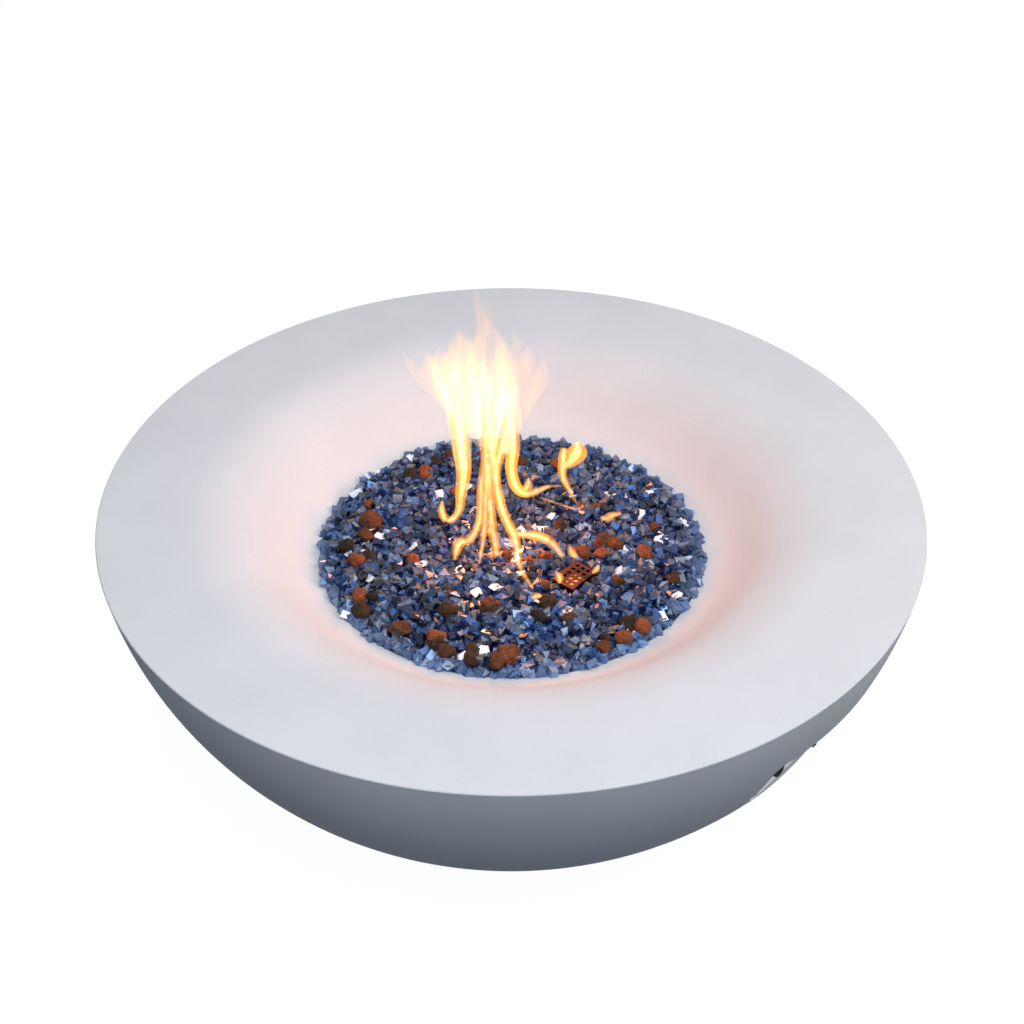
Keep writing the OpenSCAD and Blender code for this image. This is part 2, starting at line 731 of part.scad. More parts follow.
module control_plate() color("silver") on_face(0) difference() {
  union() {
    translate([-plate_w / 2, -plate_h / 2, 0]) cube([plate_w, plate_h, plate_t]);
    translate([knob_x, 0, 0]) bar(well_out_d, -knob_well, plate_t);
  }
  translate([knob_x, 0, 0]) bar(well_d, plate_t - knob_well, plate_t + cut);
  translate([knob_x, 0, 0]) bar(bushing_d + 2 * fit_gap, -knob_well - cut, plate_t - knob_well + cut);
  translate([igniter_x, 0, 0]) bar(barrel_d + 2 * fit_gap, -cut, plate_t + cut);
  for (x = [-1, 1], z = [-1, 1]) translate([x * plate_screw_x, z * plate_screw_z, 0])
    bar(plate_screw_d + 2 * fit_gap, -cut, plate_t + cut);
}

module plate_screws() color("gray") on_face(0)
  for (x = [-1, 1], z = [-1, 1]) translate([x * plate_screw_x, z * plate_screw_z, 0]) difference() {
    union() {
      bar(plate_screw_d, -plate_screw_len, plate_t);
      bar(plate_head_d, plate_t, plate_t + plate_head_h);
    }
    hex_bar(plate_screw_d / 2, plate_t + plate_head_h / 3, plate_t + plate_head_h + cut);
  }

module valve_body() color("goldenrod") on_valve() difference() {
  union() {
    bar(valve_d, -valve_len, 0);
    bar(bushing_d, -cut, bushing_out);
    translate([0, 0, outlet_at]) rotate([0, 90, 0]) cylinder(d = outlet_boss_d, h = boss_out);
    translate([0, 0, thermo_at]) rotate([90, 0, 0]) cylinder(d = thermo_boss_d, h = boss_out);
  }
  bar(stem_d + 2 * run_gap, chamber_front - cut, bushing_out + cut);
  bar(chamber_d, chamber_back, chamber_front);
  bar(plunger_d + 2 * run_gap, guide_back, chamber_back + cut);
  bar(inlet_stub_d + 2 * fit_gap, -valve_len - cut, -valve_len + inlet_stub);
}

module valve_nut() color("silver") on_valve() difference() {
  hex_bar(valve_nut_d, plate_t, plate_t + valve_nut_h);
  bar(bushing_d + 2 * fit_gap, plate_t - cut, plate_t + valve_nut_h + cut);
}

module valve_stem() color("silver") on_valve() bar(stem_d, stem_in, stem_out);

module valve_plunger() color("silver") on_valve() {
  bar(plunger_d, plunger_back, plunger_front);
  bar(collar_d, plunger_front - collar_h, plunger_front);
}

module valve_spring() color("gray") on_valve() translate([0, 0, chamber_back + fit_gap])
  coil(collar_d - 1, valve_wire, plunger_front - collar_h - chamber_back - 2 * fit_gap, valve_turns);

module control_knob() color("black") on_valve() difference() {
  union() {
    rotate_extrude() {
      translate([0, knob_back]) square([knob_d / 2, knob_depth - knob_skin]);
      translate([0, knob_back]) square([knob_d / 2 - knob_skin, knob_depth]);
      translate([knob_d / 2 - knob_skin, knob_front - knob_skin]) circle(knob_skin);
    }
    translate([-grip_w / 2, -knob_d / 2 + knob_skin, knob_front - knob_skin])
      cube([grip_w, knob_d - 2 * knob_skin, grip_h + knob_skin]);
  }
  bar(knob_d - 2 * knob_rim, knob_back - cut, knob_back + knob_cavity);
  bar(stem_d + 2 * run_gap, knob_back, stem_out + seat_gap);
  translate([0, 0, knob_front + grip_h]) knob_mark(fit_gap);
}

// The white line on the knob's grip; grow makes the groove it lies in
module knob_mark(grow) {
  mark_w = 2;
  mark_l = knob_d / 2 - 2 * knob_skin;
  translate([-mark_w / 2 - grow, knob_d / 2 - knob_skin - 1 - mark_l - grow, -pointer_t])
    cube([mark_w + 2 * grow, mark_l + 2 * grow, pointer_t + (grow > 0 ? cut : 0)]);
}

module knob_pointer() color("white") on_valve() translate([0, 0, knob_front + grip_h]) knob_mark(0);

module outlet_fitting() color("goldenrod") on_valve() translate([0, 0, outlet_at]) rotate([0, 90, 0]) {
  hex_bar(outlet_boss_d, boss_out, boss_out + outlet_hex_h);
  bar(hose_d + 2, boss_out + outlet_hex_h, boss_out + outlet_hex_h + outlet_len);
}

module gas_inlet() color("goldenrod") on_valve() rotate([180, 0, 0]) difference() {
  union() {
    bar(inlet_stub_d, valve_len - inlet_stub + seat_gap, valve_len);
    hex_bar(inlet_hex_d, valve_len, valve_len + inlet_hex_h);
    bar(inlet_d, valve_len + inlet_hex_h, valve_len + inlet_hex_h + inlet_len);
    translate([0, 0, valve_len + inlet_hex_h + inlet_len])
      cylinder(d1 = inlet_d - 2, d2 = inlet_stub_d, h = inlet_tip);
  }
  bar(inlet_bore, valve_len - inlet_stub - cut, valve_len + inlet_hex_h + inlet_len + inlet_tip + cut);
}

module igniter_body() color("black") on_face(igniter_x) difference() {
  union() {
    bar(barrel_d, -barrel_len, plate_t);
    bar(bezel_d, plate_t, plate_t + bezel_h);
    bar(terminal_d, -barrel_len - terminal_len, -barrel_len);
  }
  bar(button_d + 2 * seat_gap, button_bore_in, plate_t + bezel_h + cut);
  bar(battery_d + 2 * seat_gap, -barrel_len + barrel_end, button_bore_in + cut);
}

module igniter_nut() color("black") on_face(igniter_x) difference() {
  hex_bar(barrel_nut_d, -barrel_nut_h, 0);
  bar(barrel_d + 2 * fit_gap, -barrel_nut_h - cut, cut);
}

module igniter_button() color("black") on_face(igniter_x) {
  crown = 1.2;
  rotate_extrude() {
    translate([0, button_in]) square([button_d / 2, button_head - button_in + cut]);
    translate([0, button_head]) square([button_head_d / 2, button_top - button_head - crown]);
    translate([0, button_head]) square([button_head_d / 2 - crown, button_top - button_head]);
    translate([button_head_d / 2 - crown, button_top - crown]) circle(crown);
  }
}

module igniter_spring() color("gray") on_face(igniter_x) translate([0, 0, battery_front + fit_gap])
  coil(battery_d - 1, button_wire, button_in - battery_front - 2 * fit_gap, button_turns);

module igniter_battery() color("orange") on_face(igniter_x) {
  bar(battery_d, battery_back, battery_front - battery_cap_h);
  bar(battery_cap_d, battery_front - battery_cap_h, battery_front);
}

// Room that the pilot's hood needs in the rock and glass around it
module hood_room(tab) {
  translate([pilot_x - hood_w / 2 - tab - hood_clear, pilot_y - hood_l / 2 - hood_clear, floor_top - cut])
    cube([hood_w + 2 * tab + 2 * hood_clear, hood_l + 2 * hood_clear, hood_h + 2 * cut]);
}

module lava_fill() color("saddlebrown") difference() {
  rotate_extrude() difference() {
    translate([hub_r + seat_gap, floor_top])
      square([pan_in_r - hub_r - 2 * seat_gap, fill_top - floor_top]);
    for (r = [ring_out_r, ring_in_r]) translate([r, burner_z]) circle(d = tube_d + 2 * seat_gap);
  }
  for (a = spoke_angles)
    translate([0, 0, burner_z]) rotate([0, 90, a]) cylinder(d = spoke_d + 2 * seat_gap, h = ring_out_r);
  hood_room(hood_tab);
}

// Height of the glass: level in the middle, sloping down to its edge
glass_cell = glass_r / glass_rings;
function mound(r) = glass_edge_z + glass_mound * min(1, (1 - r / glass_r) / glass_slope);
function seat_of(rock) = mound(norm([rock[0], rock[1]]));

// Lava rocks as they lie: [angle, share of the glass's radius, share of the largest half width].
// A rock is kept where it is clear of the pilot and of the rocks already kept.
rock_spots = [
  [118, 0.76, 0.95], [140, 0.76, 0.6], [77, 0.76, 0.55], [319, 0.76, 0.45],
  [64, 0.88, 0.45], [160, 0.88, 0.6], [181, 0.88, 0.65], [196, 0.88, 0.65], [208, 0.88, 0.65],
  [219, 0.88, 0.8], [252, 0.88, 0.5], [262, 0.88, 0.8], [291, 0.88, 0.55],
  [301, 0.7, 0.65], [306, 0.48, 0.7], [333, 0.28, 0.65], [341, 0.55, 0.5], [36, 0.69, 0.5],
  [86, 0.45, 0.5], [149, 0.54, 0.55], [192, 0.66, 0.7], [209, 0.56, 0.7], [240, 0.54, 0.6],
  [244, 0.7, 0.55], [256, 0.68, 0.5], [279, 0.63, 0.5], [232, 0.32, 0.5], [212, 0.15, 0.5]];
rock_turn = 0.37;
function rock_at(k) =
  let (spot = rock_spots[k], r = glass_r * spot[1])
  [r * cos(spot[0]), r * sin(spot[0]), rock_r * spot[2], (rock_turn * k) % 1];
function near_hood(p) = abs(p[0] - pilot_x) < hood_w / 2 + rock_margin
  && abs(p[1] - pilot_y) < hood_l / 2 + rock_margin;
function too_close(p, q) =
  let (level = abs(seat_of(p) - seat_of(q)) < fit_gap)
  norm([p[0] - q[0], p[1] - q[1]]) < stone_reach * (p[2] + q[2]) + (level ? cut : 2.4 * glass_cell);
function scatter(k, kept) = k == len(rock_spots) ? kept
  : let (p = rock_at(k), hits = [for (q = kept) if (too_close(p, q)) q])
    scatter(k + 1, near_hood(p) || len(hits) > 0 ? kept : concat(kept, [p]));
rocks = scatter(0, []);

// The glass is uneven between the rocks and level under each rock
function seats_by(p) = [for (k = rocks) if (norm([k[0], k[1]] - p) < k[2] + 1.1 * glass_cell) seat_of(k)];
function glass_z(p, lift) =
  let (seats = seats_by(p))
  len(seats) > 0 ? min(seats) - fit_gap : mound(norm(p)) + lift;

// Fire glass: rings of facets, ring i with 6 i points, each a little out of place
glass_count = 1 + 3 * glass_rings * (glass_rings + 1);
glass_shift = rands(-1, 1, 3 * glass_count, 11);
function ring_start(i) = i == 0 ? 0 : 1 + 3 * i * (i - 1);
function glass_point(i, j) =
  let (n = ring_start(i) + j, edge = i == glass_rings,
    r = glass_cell * (i + (edge ? 0 : 0.25 * glass_shift[3 * n])),
    a = i == 0 ? 0 : 60 * j / i + (edge ? 0 : 15 / i * glass_shift[3 * n + 1]),
    p = [r * cos(a), r * sin(a)])
  [p[0], p[1], edge ? glass_edge_z : glass_z(p, glass_rough * glass_shift[3 * n + 2])];
function edge_loop(r, z) =
  [for (j = [0 : 6 * glass_rings - 1]) [r * cos(60 * j / glass_rings), r * sin(60 * j / glass_rings), z]];

module glass_mass() {
  n = 6 * glass_rings;
  top = [for (i = [0 : glass_rings], j = [0 : max(6 * i - 1, 0)]) glass_point(i, j)];
  mid_r = (glass_r + toe[0]) / 2;
  loops = concat(
    edge_loop(mid_r, dish_z(mid_r) + seat_gap),
    edge_loop(flange_r, flange_top + seat_gap),
    edge_loop(pan_in_r - seat_gap, flange_top + seat_gap),
    edge_loop(pan_in_r - seat_gap, glass_low));
  rim = ring_start(glass_rings);
  low = rim + 4 * n;
  facets = [for (i = [1 : glass_rings], s = [0 : 5], j = [0 : i - 1])
    let (o = ring_start(i), q = ring_start(i - 1), m = max(6 * (i - 1), 1),
      a = o + s * i + j, b = o + (s * i + j + 1) % (6 * i),
      c = q + (s * (i - 1) + j) % m, d = q + (s * (i - 1) + j + 1) % m)
    each (j < i - 1 ? [[c, b, a], [c, d, b]] : [[c, b, a]])];
  sides = [for (k = [0 : 3], j = [0 : n - 1])
    let (a = rim + k * n + j, b = rim + k * n + (j + 1) % n)
    each [[a, b, a + n], [b, b + n, a + n]]];
  base = [for (j = [0 : n - 1]) [low + n, low + j, low + (j + 1) % n]];
  polyhedron(concat(top, loops, [[0, 0, glass_low]]), concat(facets, sides, base), convexity = 10);
}

module fire_glass() color("royalblue") difference() {
  glass_mass();
  hood_room(0);
}

// One rough stone on a flat base, of half width r
module stone(r, turn) {
  n = 6;
  rough = rands(0.84, stone_reach, 3 * n, floor(1000 * turn));
  levels = [[0.66, 0], [1, 0.5], [0.62, 1.05]];
  rings = [for (i = [0 : 2], j = [0 : n - 1])
    let (q = rough[i * n + j] * levels[i][0] * r, a = 360 * (j + i / 2) / n + 90 * turn)
    [q * cos(a), q * sin(a), levels[i][1] * r * (i == 0 ? 1 : rough[i * n + (j + 1) % n])]];
  peak = [0, 0, 1.2 * r];
  walls = [for (i = [0 : 1], j = [0 : n - 1])
    let (a = i * n + j, b = i * n + (j + 1) % n)
    each [[a, a + n, b], [b, a + n, b + n]]];
  cap = [for (j = [0 : n - 1]) [3 * n, 2 * n + (j + 1) % n, 2 * n + j]];
  foot = [for (j = [1 : n - 2]) [0, j, j + 1]];
  polyhedron(concat(rings, [peak]), concat(walls, cap, foot));
}

module lava_rocks() color("brown")
  for (k = rocks) translate([k[0], k[1], seat_of(k)]) stone(k[2], k[3]);

bowl_shell();
rubber_feet();
foot_screws();
burner_pan();
pan_gasket();
pan_screws();
burner_ring();
burner_nipple();
burner_locknut();
air_mixer();
orifice_elbow();
burner_hose();
pilot_bracket();
pilot_hood();
hood_screws();
thermocouple();
thermocouple_lead();
thermocouple_nut();
electrode_ceramic();
spark_rod();
igniter_lead();
control_plate();
plate_screws();
valve_body();
valve_nut();
valve_stem();
valve_plunger();
valve_spring();
control_knob();
knob_pointer();
outlet_fitting();
gas_inlet();
igniter_body();
igniter_nut();
igniter_button();
igniter_spring();
igniter_battery();
lava_fill();
fire_glass();
lava_rocks();
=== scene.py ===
# %% [markdown]
# # A gas fire pit bowl, dressed for the camera
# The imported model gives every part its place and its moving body. This lesson puts surfaces on it:
# a cast concrete bowl, a bed of blue fire glass with lava rocks, a heat-tinted pilot hood, and the
# knob and igniter in the side. The object's lengths are written in millimetres and turned into
# metres by MM. The camera, the floor and the lamps are placed in metres.

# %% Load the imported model
import math

import bmesh
import bpy
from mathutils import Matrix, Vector
from mathutils.bvhtree import BVHTree


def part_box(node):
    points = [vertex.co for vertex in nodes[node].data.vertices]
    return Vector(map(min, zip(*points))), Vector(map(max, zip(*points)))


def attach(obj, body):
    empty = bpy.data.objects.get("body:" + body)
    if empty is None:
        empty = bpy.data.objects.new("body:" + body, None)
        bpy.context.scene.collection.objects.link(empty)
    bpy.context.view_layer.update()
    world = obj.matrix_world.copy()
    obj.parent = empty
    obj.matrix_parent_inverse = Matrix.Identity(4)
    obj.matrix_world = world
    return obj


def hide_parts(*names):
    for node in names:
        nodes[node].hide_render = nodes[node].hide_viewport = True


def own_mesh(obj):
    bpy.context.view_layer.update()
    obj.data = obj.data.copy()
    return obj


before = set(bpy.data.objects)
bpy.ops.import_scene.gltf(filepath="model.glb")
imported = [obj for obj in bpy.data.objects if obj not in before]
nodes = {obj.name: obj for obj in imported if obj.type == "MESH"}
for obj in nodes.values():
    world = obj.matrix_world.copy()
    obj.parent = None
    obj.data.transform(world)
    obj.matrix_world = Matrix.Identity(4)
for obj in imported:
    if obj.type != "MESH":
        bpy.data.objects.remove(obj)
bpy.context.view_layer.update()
scene = bpy.context.scene
MM = 0.001
PER_METRE = 1000
UNIT = (0.0, 1.0)

# %% [markdown]
# ## Helpers
# One function turns a colour as it is written for a screen into the linear numbers that a shader
# wants, and one adds a node with its settings and links. The others are short names for the nodes
# and mesh steps that come back in every finish and shape.


# %% Helpers for node trees
def linear(code):
    channels = [int(code[i:i + 2], 16) / 255 for i in (0, 2, 4)]
    return [c / 12.92 if c <= 0.04045 else ((c + 0.055) / 1.055) ** 2.4 for c in channels] + [1.0]


def add(tree, kind, settings=None, sockets=None):
    node = tree.nodes.new(kind)
    for key, value in (settings or {}).items():
        if key == "stops":
            for i, (at, code) in enumerate(value):
                stop = node.color_ramp.elements[i] if i < 2 else node.color_ramp.elements.new(at)
                stop.position, stop.color = at, linear(code)
        else:
            setattr(node, key, value)
    for key, value in (sockets or {}).items():
        if isinstance(value, bpy.types.NodeSocket):
            tree.links.new(value, node.inputs[key])
        else:
            node.inputs[key].default_value = value
    return node


def link(node, socket, output):
    node.id_data.links.new(output, node.inputs[socket])


def maths(tree, operation, *values, clamp=False):
    settings = {"operation": operation, "use_clamp": clamp}
    return add(tree, "ShaderNodeMath", settings, dict(enumerate(values))).outputs[0]


def vector_maths(tree, operation, *values):
    return add(tree, "ShaderNodeVectorMath", {"operation": operation}, dict(enumerate(values)))


def scaled(tree, vector, amount):
    sockets = {0: vector, "Scale": amount}
    return add(tree, "ShaderNodeVectorMath", {"operation": "SCALE"}, sockets).outputs[0]


def combined(tree, x, y, z):
    return add(tree, "ShaderNodeCombineXYZ", {}, {"X": x, "Y": y, "Z": z}).outputs[0]


def axes(tree, vector):
    return add(tree, "ShaderNodeSeparateXYZ", {}, {0: vector}).outputs


def ranged(tree, value, source, target, clamp=True):
    sockets = {"Value": value, "From Min": source[0], "From Max": source[1],
               "To Min": target[0], "To Max": target[1]}
    return add(tree, "ShaderNodeMapRange", {"clamp": clamp}, sockets).outputs["Result"]


def mixed(tree, factor, one, other, blend="MIX"):
    settings = {"data_type": "RGBA", "blend_type": blend}
    return add(tree, "ShaderNodeMix", settings, {"Factor": factor, 6: one, 7: other}).outputs[2]


def times(tree, colour, amount):
    return mixed(tree, 1.0, colour, amount, "MULTIPLY")


def ramp(tree, value, stops):
    return add(tree, "ShaderNodeValToRGB", {"stops": stops}, {"Fac": value}).outputs["Color"]


def noise(tree, spot, scale, detail, roughness=0.5):
    sockets = {"Vector": spot, "Scale": scale, "Detail": detail, "Roughness": roughness}
    return add(tree, "ShaderNodeTexNoise", {}, sockets).outputs["Fac"]


def cells(tree, spot, scale):
    return add(tree, "ShaderNodeTexVoronoi", {}, {"Vector": spot, "Scale": scale}).outputs


def own_place(tree):
    return add(tree, "ShaderNodeTexCoord").outputs["Object"]


def number(tree, name):
    return add(tree, "ShaderNodeAttribute", {"attribute_name": name}).outputs["Fac"]


def shown(tree):
    rays = add(tree, "ShaderNodeLightPath").outputs
    seen_or_mirrored = maths(tree, "ADD", rays["Is Camera Ray"], rays["Is Glossy Ray"], clamp=True)
    return maths(tree, "ADD", seen_or_mirrored, rays["Is Transmission Ray"], clamp=True)


# %% Helpers for finishes
def start_finish(name, sockets):
    finish = bpy.data.materials.new(name)
    finish.use_nodes = True
    shader = finish.node_tree.nodes["Principled BSDF"]
    for key, value in sockets.items():
        shader.inputs[key].default_value = value
    return finish, finish.node_tree, shader


def bare_finish(name):
    finish, tree, shader = start_finish(name, {})
    tree.nodes.remove(shader)
    return finish, tree, tree.nodes["Material Output"]


def bumped(shader, height, strength, depth):
    sockets = {"Strength": strength, "Distance": depth, "Height": height}
    link(shader, "Normal", add(shader.id_data, "ShaderNodeBump", {}, sockets).outputs["Normal"])


def paint(mesh, finish):
    mesh.materials.clear()
    mesh.materials.append(finish)


# %% Helpers for geometry node trees
def start_tree(name, inputs):
    tree = bpy.data.node_groups.new(name, "GeometryNodeTree")
    tree.interface.new_socket("Geometry", in_out="INPUT", socket_type="NodeSocketGeometry")
    sockets = {label: tree.interface.new_socket(label, in_out="INPUT", socket_type=kind).identifier
               for label, kind in inputs.items()}
    tree.interface.new_socket("Geometry", in_out="OUTPUT", socket_type="NodeSocketGeometry")
    return tree, sockets, tree.nodes.new("NodeGroupInput").outputs


def end_tree(tree, geometry, finish):
    painted = add(tree, "GeometryNodeSetMaterial", {}, {"Geometry": geometry, "Material": finish})
    add(tree, "NodeGroupOutput", {}, {"Geometry": painted.outputs["Geometry"]})


def field(tree, kind):
    return add(tree, "GeometryNodeInput" + kind).outputs[0]


def realised(tree, geometry):
    return add(tree, "GeometryNodeRealizeInstances", {}, {"Geometry": geometry}).outputs["Geometry"]


def draw(tree, low, high, seed, vector=False, **more):
    kind, first, out = ("FLOAT_VECTOR", 0, 0) if vector else ("FLOAT", 2, 1)
    sockets = {first: low, first + 1: high, "Seed": seed, **more}
    return add(tree, "FunctionNodeRandomValue", {"data_type": kind}, sockets).outputs[out]


def stored(tree, geometry, domain, name, value):
    return add(tree, "GeometryNodeStoreNamedAttribute", {"data_type": "FLOAT", "domain": domain},
               {"Geometry": geometry, "Name": name, "Value": value}).outputs["Geometry"]


def moved(tree, geometry, offset):
    return add(tree, "GeometryNodeSetPosition", {},
               {"Geometry": geometry, "Offset": offset}).outputs["Geometry"]


def rotated(tree, angles):
    return add(tree, "FunctionNodeEulerToRotation", {}, {0: angles}).outputs[0]


# %% Helpers for meshes
MERGE_MM = 0.004


def put(name, data):
    thing = bpy.data.objects.new(name, data)
    scene.collection.objects.link(thing)
    return thing


def final_mesh(holder, **options):
    graph = bpy.context.evaluated_depsgraph_get()
    mesh = bpy.data.meshes.new_from_object(holder.evaluated_get(graph), depsgraph=graph, **options)
    bpy.data.objects.remove(holder)
    return mesh


def run_tree(tree, sockets, source, values):
    holder = put("holder", source)
    modifier = holder.modifiers.new("shape", "NODES")
    modifier.node_group = tree
    for label, value in values.items():
        modifier[sockets[label]] = value
    return final_mesh(holder, preserve_all_data_layers=True)


def opened(mesh):
    shape = bmesh.new()
    shape.from_mesh(mesh)
    return shape


def merged(mesh):
    shape = opened(mesh)
    bmesh.ops.remove_doubles(shape, verts=shape.verts, dist=MERGE_MM * MM)
    return shape


def closed(shape, mesh):
    shape.to_mesh(mesh)
    shape.free()
    return mesh


def soften(mesh, degrees):
    shape = opened(mesh)
    for face in shape.faces:
        face.smooth = True
    for edge in shape.edges:
        edge.smooth = len(edge.link_faces) == 2 and edge.calc_face_angle(0.0) < math.radians(degrees)
    closed(shape, mesh)


def place(mesh, name, body, finish=None, stands_for=()):
    if finish is not None:
        paint(mesh, finish)
    piece = put(name, mesh)
    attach(piece, body)
    if stands_for:
        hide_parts(*stands_for)
    print(name, len(mesh.polygons), "faces")
    return piece


def smooth_line(knots, per_knot):
    ends = [knots[0]] + list(knots) + [knots[-1]]
    line = []
    for i in range(1, len(ends) - 2):
        a, b, c, d = [Vector(k) for k in ends[i - 1:i + 3]]
        for j in range(per_knot):
            t = j / per_knot
            line.append(0.5 * (2 * b + (c - a) * t + (2 * a - 5 * b + 4 * c - d) * t * t
                               + (3 * b - a - 3 * c + d) * t ** 3))
    return line + [Vector(knots[-1])]


# %% [markdown]
# ## The camera
# The rim is a circle, so its outline in a picture is an ellipse whose shape gives the height of the
# camera, and the difference between its near and far half gives the distance. A long lens from
# 2.6 m, 37 degrees above the rim, gives that ellipse. The camera turns a little, so that the rim's
# middle comes just above the middle of the frame.

# %% Camera
LENS_PIXELS = 2000.0
IMAGE_PIXELS = 1024.0
SENSOR = 36.0
RIM_CENTRE = Vector((0.0, 0.0, 0.350))
CAMERA_DISTANCE = 2.605
CAMERA_AZIMUTH = math.radians(-50.0)
CAMERA_ELEVATION = math.radians(37.0)
RIM_LEFT_PIXELS = 0.8
RIM_UP_PIXELS = 11.9

to_camera = Vector((math.sin(CAMERA_AZIMUTH) * math.cos(CAMERA_ELEVATION),
                    -math.cos(CAMERA_AZIMUTH) * math.cos(CAMERA_ELEVATION), math.sin(CAMERA_ELEVATION)))
camera_right = to_camera.cross(Vector((0, 0, -1))).normalized()
camera_up = to_camera.cross(camera_right)
per_pixel = CAMERA_DISTANCE / LENS_PIXELS
aim = RIM_CENTRE + camera_right * RIM_LEFT_PIXELS * per_pixel - camera_up * RIM_UP_PIXELS * per_pixel

camera_data = bpy.data.cameras.new("camera")
camera_data.sensor_width = SENSOR
camera_data.lens = LENS_PIXELS / IMAGE_PIXELS * SENSOR
camera = put("camera", camera_data)
camera.location = RIM_CENTRE + to_camera * CAMERA_DISTANCE
camera.rotation_mode = "QUATERNION"
camera.rotation_quaternion = (aim - camera.location).to_track_quat("-Z", "Y")
scene.camera = camera
print("camera at", tuple(round(c, 3) for c in camera.location), "lens", round(camera_data.lens, 1))

# %% [markdown]
# ## Concrete
# The bowl is cast in glass-fibre concrete, then sanded and sealed. It has no gloss, a very even pale
# grey with broad clouds a hand wide, sand grains about two millimetres across that only show as a
# soft grain, and a few pinholes left by air bubbles.

# %% Finish: cast glass-fibre concrete
CLOUD_MM = 110.0
SAND_MM = 2.2
PINHOLE_SPACING_MM = 34.0
SAND_RELIEF = 0.25
PINHOLE_DEPTH_MM = 0.6

concrete, tree, shader = start_finish("cast_glass_fibre_concrete", {"IOR": 1.5, "Specular IOR Level": 0.05})
on_cast = own_place(tree)
clouds = noise(tree, on_cast, PER_METRE / CLOUD_MM, 4.0, 0.55)
sand = noise(tree, on_cast, PER_METRE / SAND_MM, 2.0)
pits = cells(tree, on_cast, PER_METRE / PINHOLE_SPACING_MM)["Distance"]
tone = ramp(tree, clouds, [(0.3, "D6D5D6"), (0.7, "DBDADB")])
grain = ranged(tree, sand, (0.3, 0.7), (0.975, 1.02))
link(shader, "Base Color", times(tree, tone, grain))
link(shader, "Roughness", ranged(tree, clouds, UNIT, (0.62, 0.82)))
pit_depth = ranged(tree, pits, (0.02, 0.06), UNIT)
bumped(shader, maths(tree, "MULTIPLY_ADD", sand, SAND_RELIEF, pit_depth), 0.25, PINHOLE_DEPTH_MM * MM)
print("finish:", concrete.name)

# %% [markdown]
# ## The bowl
# The bowl's shape follows a rule: one section turned round the middle. The section is a row of arcs
# with the sizes of the cast: the side is one arc, the rim is flat, and the dish turns over the lip,
# runs down a slope and turns level at the burner pan. A node tree sweeps it round a circle. A second
# section makes the hollow. The recess, its window, the knob's well and the hose notch are cut out
# after that.

# %% Section of the bowl
RIM_R, RIM_H, BASE_R, FOOT_H = 535.0, 350.0, 310.0, 8.0
SIDE_CENTRE, SIDE_ROUND, WALL = (33.17, 435.14), 509.0, 20.0
LIP_CENTRE, LIP_ROUND = (420.0, 200.0), 150.0
DISH_CENTRE, DISH_ROUND = (223.73, 373.14), 110.0
SLOPE, TOE = 42.0, 8.0
LEDGE_H, LEDGE_R, LEDGE_UNDER, PAN_HOLE_R = 261.214, 239.041, 244.4, 225.741
EDGE_ROUND, EDGE_INSET, EDGE_FROM = 1.5, 0.5, 30
BASE_IN_R, BASE_RING_TOP = 271.0, 40.0
HOLLOW_TOP = RIM_H - WALL
BEYOND = 6.0
SIDE_STEPS, EDGE_STEPS, DISH_STEPS = 36, 4, (20, 14)
HOLLOW_SIDE_STEPS, HOLLOW_DISH_STEPS = 30, (14, 10)


def arc(centre, radius, start, end, steps):
    angles = [math.radians(start + (end - start) * i / steps) for i in range(steps + 1)]
    return [(centre[0] + radius * math.cos(a), centre[1] + radius * math.sin(a)) for a in angles]


def side_arc(radius, low, high, steps):
    start, end = [math.degrees(math.asin((z - SIDE_CENTRE[1]) / radius)) for z in (low, high)]
    return arc(SIDE_CENTRE, radius, start, end, steps)


def dish_arcs(inset, steps):
    return (arc(LIP_CENTRE, LIP_ROUND - inset, 90, 90 + SLOPE, steps[0])
            + arc(DISH_CENTRE, DISH_ROUND + inset, SLOPE - 90, TOE - 90, steps[1]))


rim_edge = (RIM_R - EDGE_ROUND - EDGE_INSET, RIM_H - EDGE_ROUND)
solid_section = ([(PAN_HOLE_R, FOOT_H), (BASE_R - EDGE_ROUND, FOOT_H)]
                 + side_arc(SIDE_ROUND, FOOT_H + EDGE_ROUND, RIM_H - EDGE_ROUND, SIDE_STEPS)
                 + arc(rim_edge, EDGE_ROUND, EDGE_FROM, 90, EDGE_STEPS) + dish_arcs(0.0, DISH_STEPS)
                 + [(LEDGE_R, LEDGE_H), (PAN_HOLE_R, LEDGE_H)])
hollow_section = ([(PAN_HOLE_R - BEYOND, FOOT_H - BEYOND), (BASE_IN_R, FOOT_H - BEYOND),
                   (BASE_IN_R, BASE_RING_TOP)]
                  + side_arc(SIDE_ROUND - WALL, BASE_RING_TOP, HOLLOW_TOP, HOLLOW_SIDE_STEPS)
                  + dish_arcs(WALL, HOLLOW_DISH_STEPS) + [(PAN_HOLE_R - BEYOND, LEDGE_UNDER)])
print(len(solid_section), "points in the bowl's section")

# %% Node tree: turn a section round the middle
SWEEP_R = 400.0
STEPS_ROUND = 224
turning, turning_inputs, given = start_tree(
    "turned_section", {"Steps round": "NodeSocketInt", "Sweep radius": "NodeSocketFloat",
                       "Finish": "NodeSocketMaterial"})
outline = add(turning, "GeometryNodeMeshToCurve", {}, {"Mesh": given["Geometry"]})
circle = add(turning, "GeometryNodeCurvePrimitiveCircle", {"mode": "RADIUS"},
             {"Resolution": given["Steps round"], "Radius": given["Sweep radius"]})
swept = add(turning, "GeometryNodeCurveToMesh", {},
            {"Curve": circle.outputs["Curve"], "Profile Curve": outline.outputs["Curve"]})
end_tree(turning, realised(turning, swept.outputs["Mesh"]), given["Finish"])


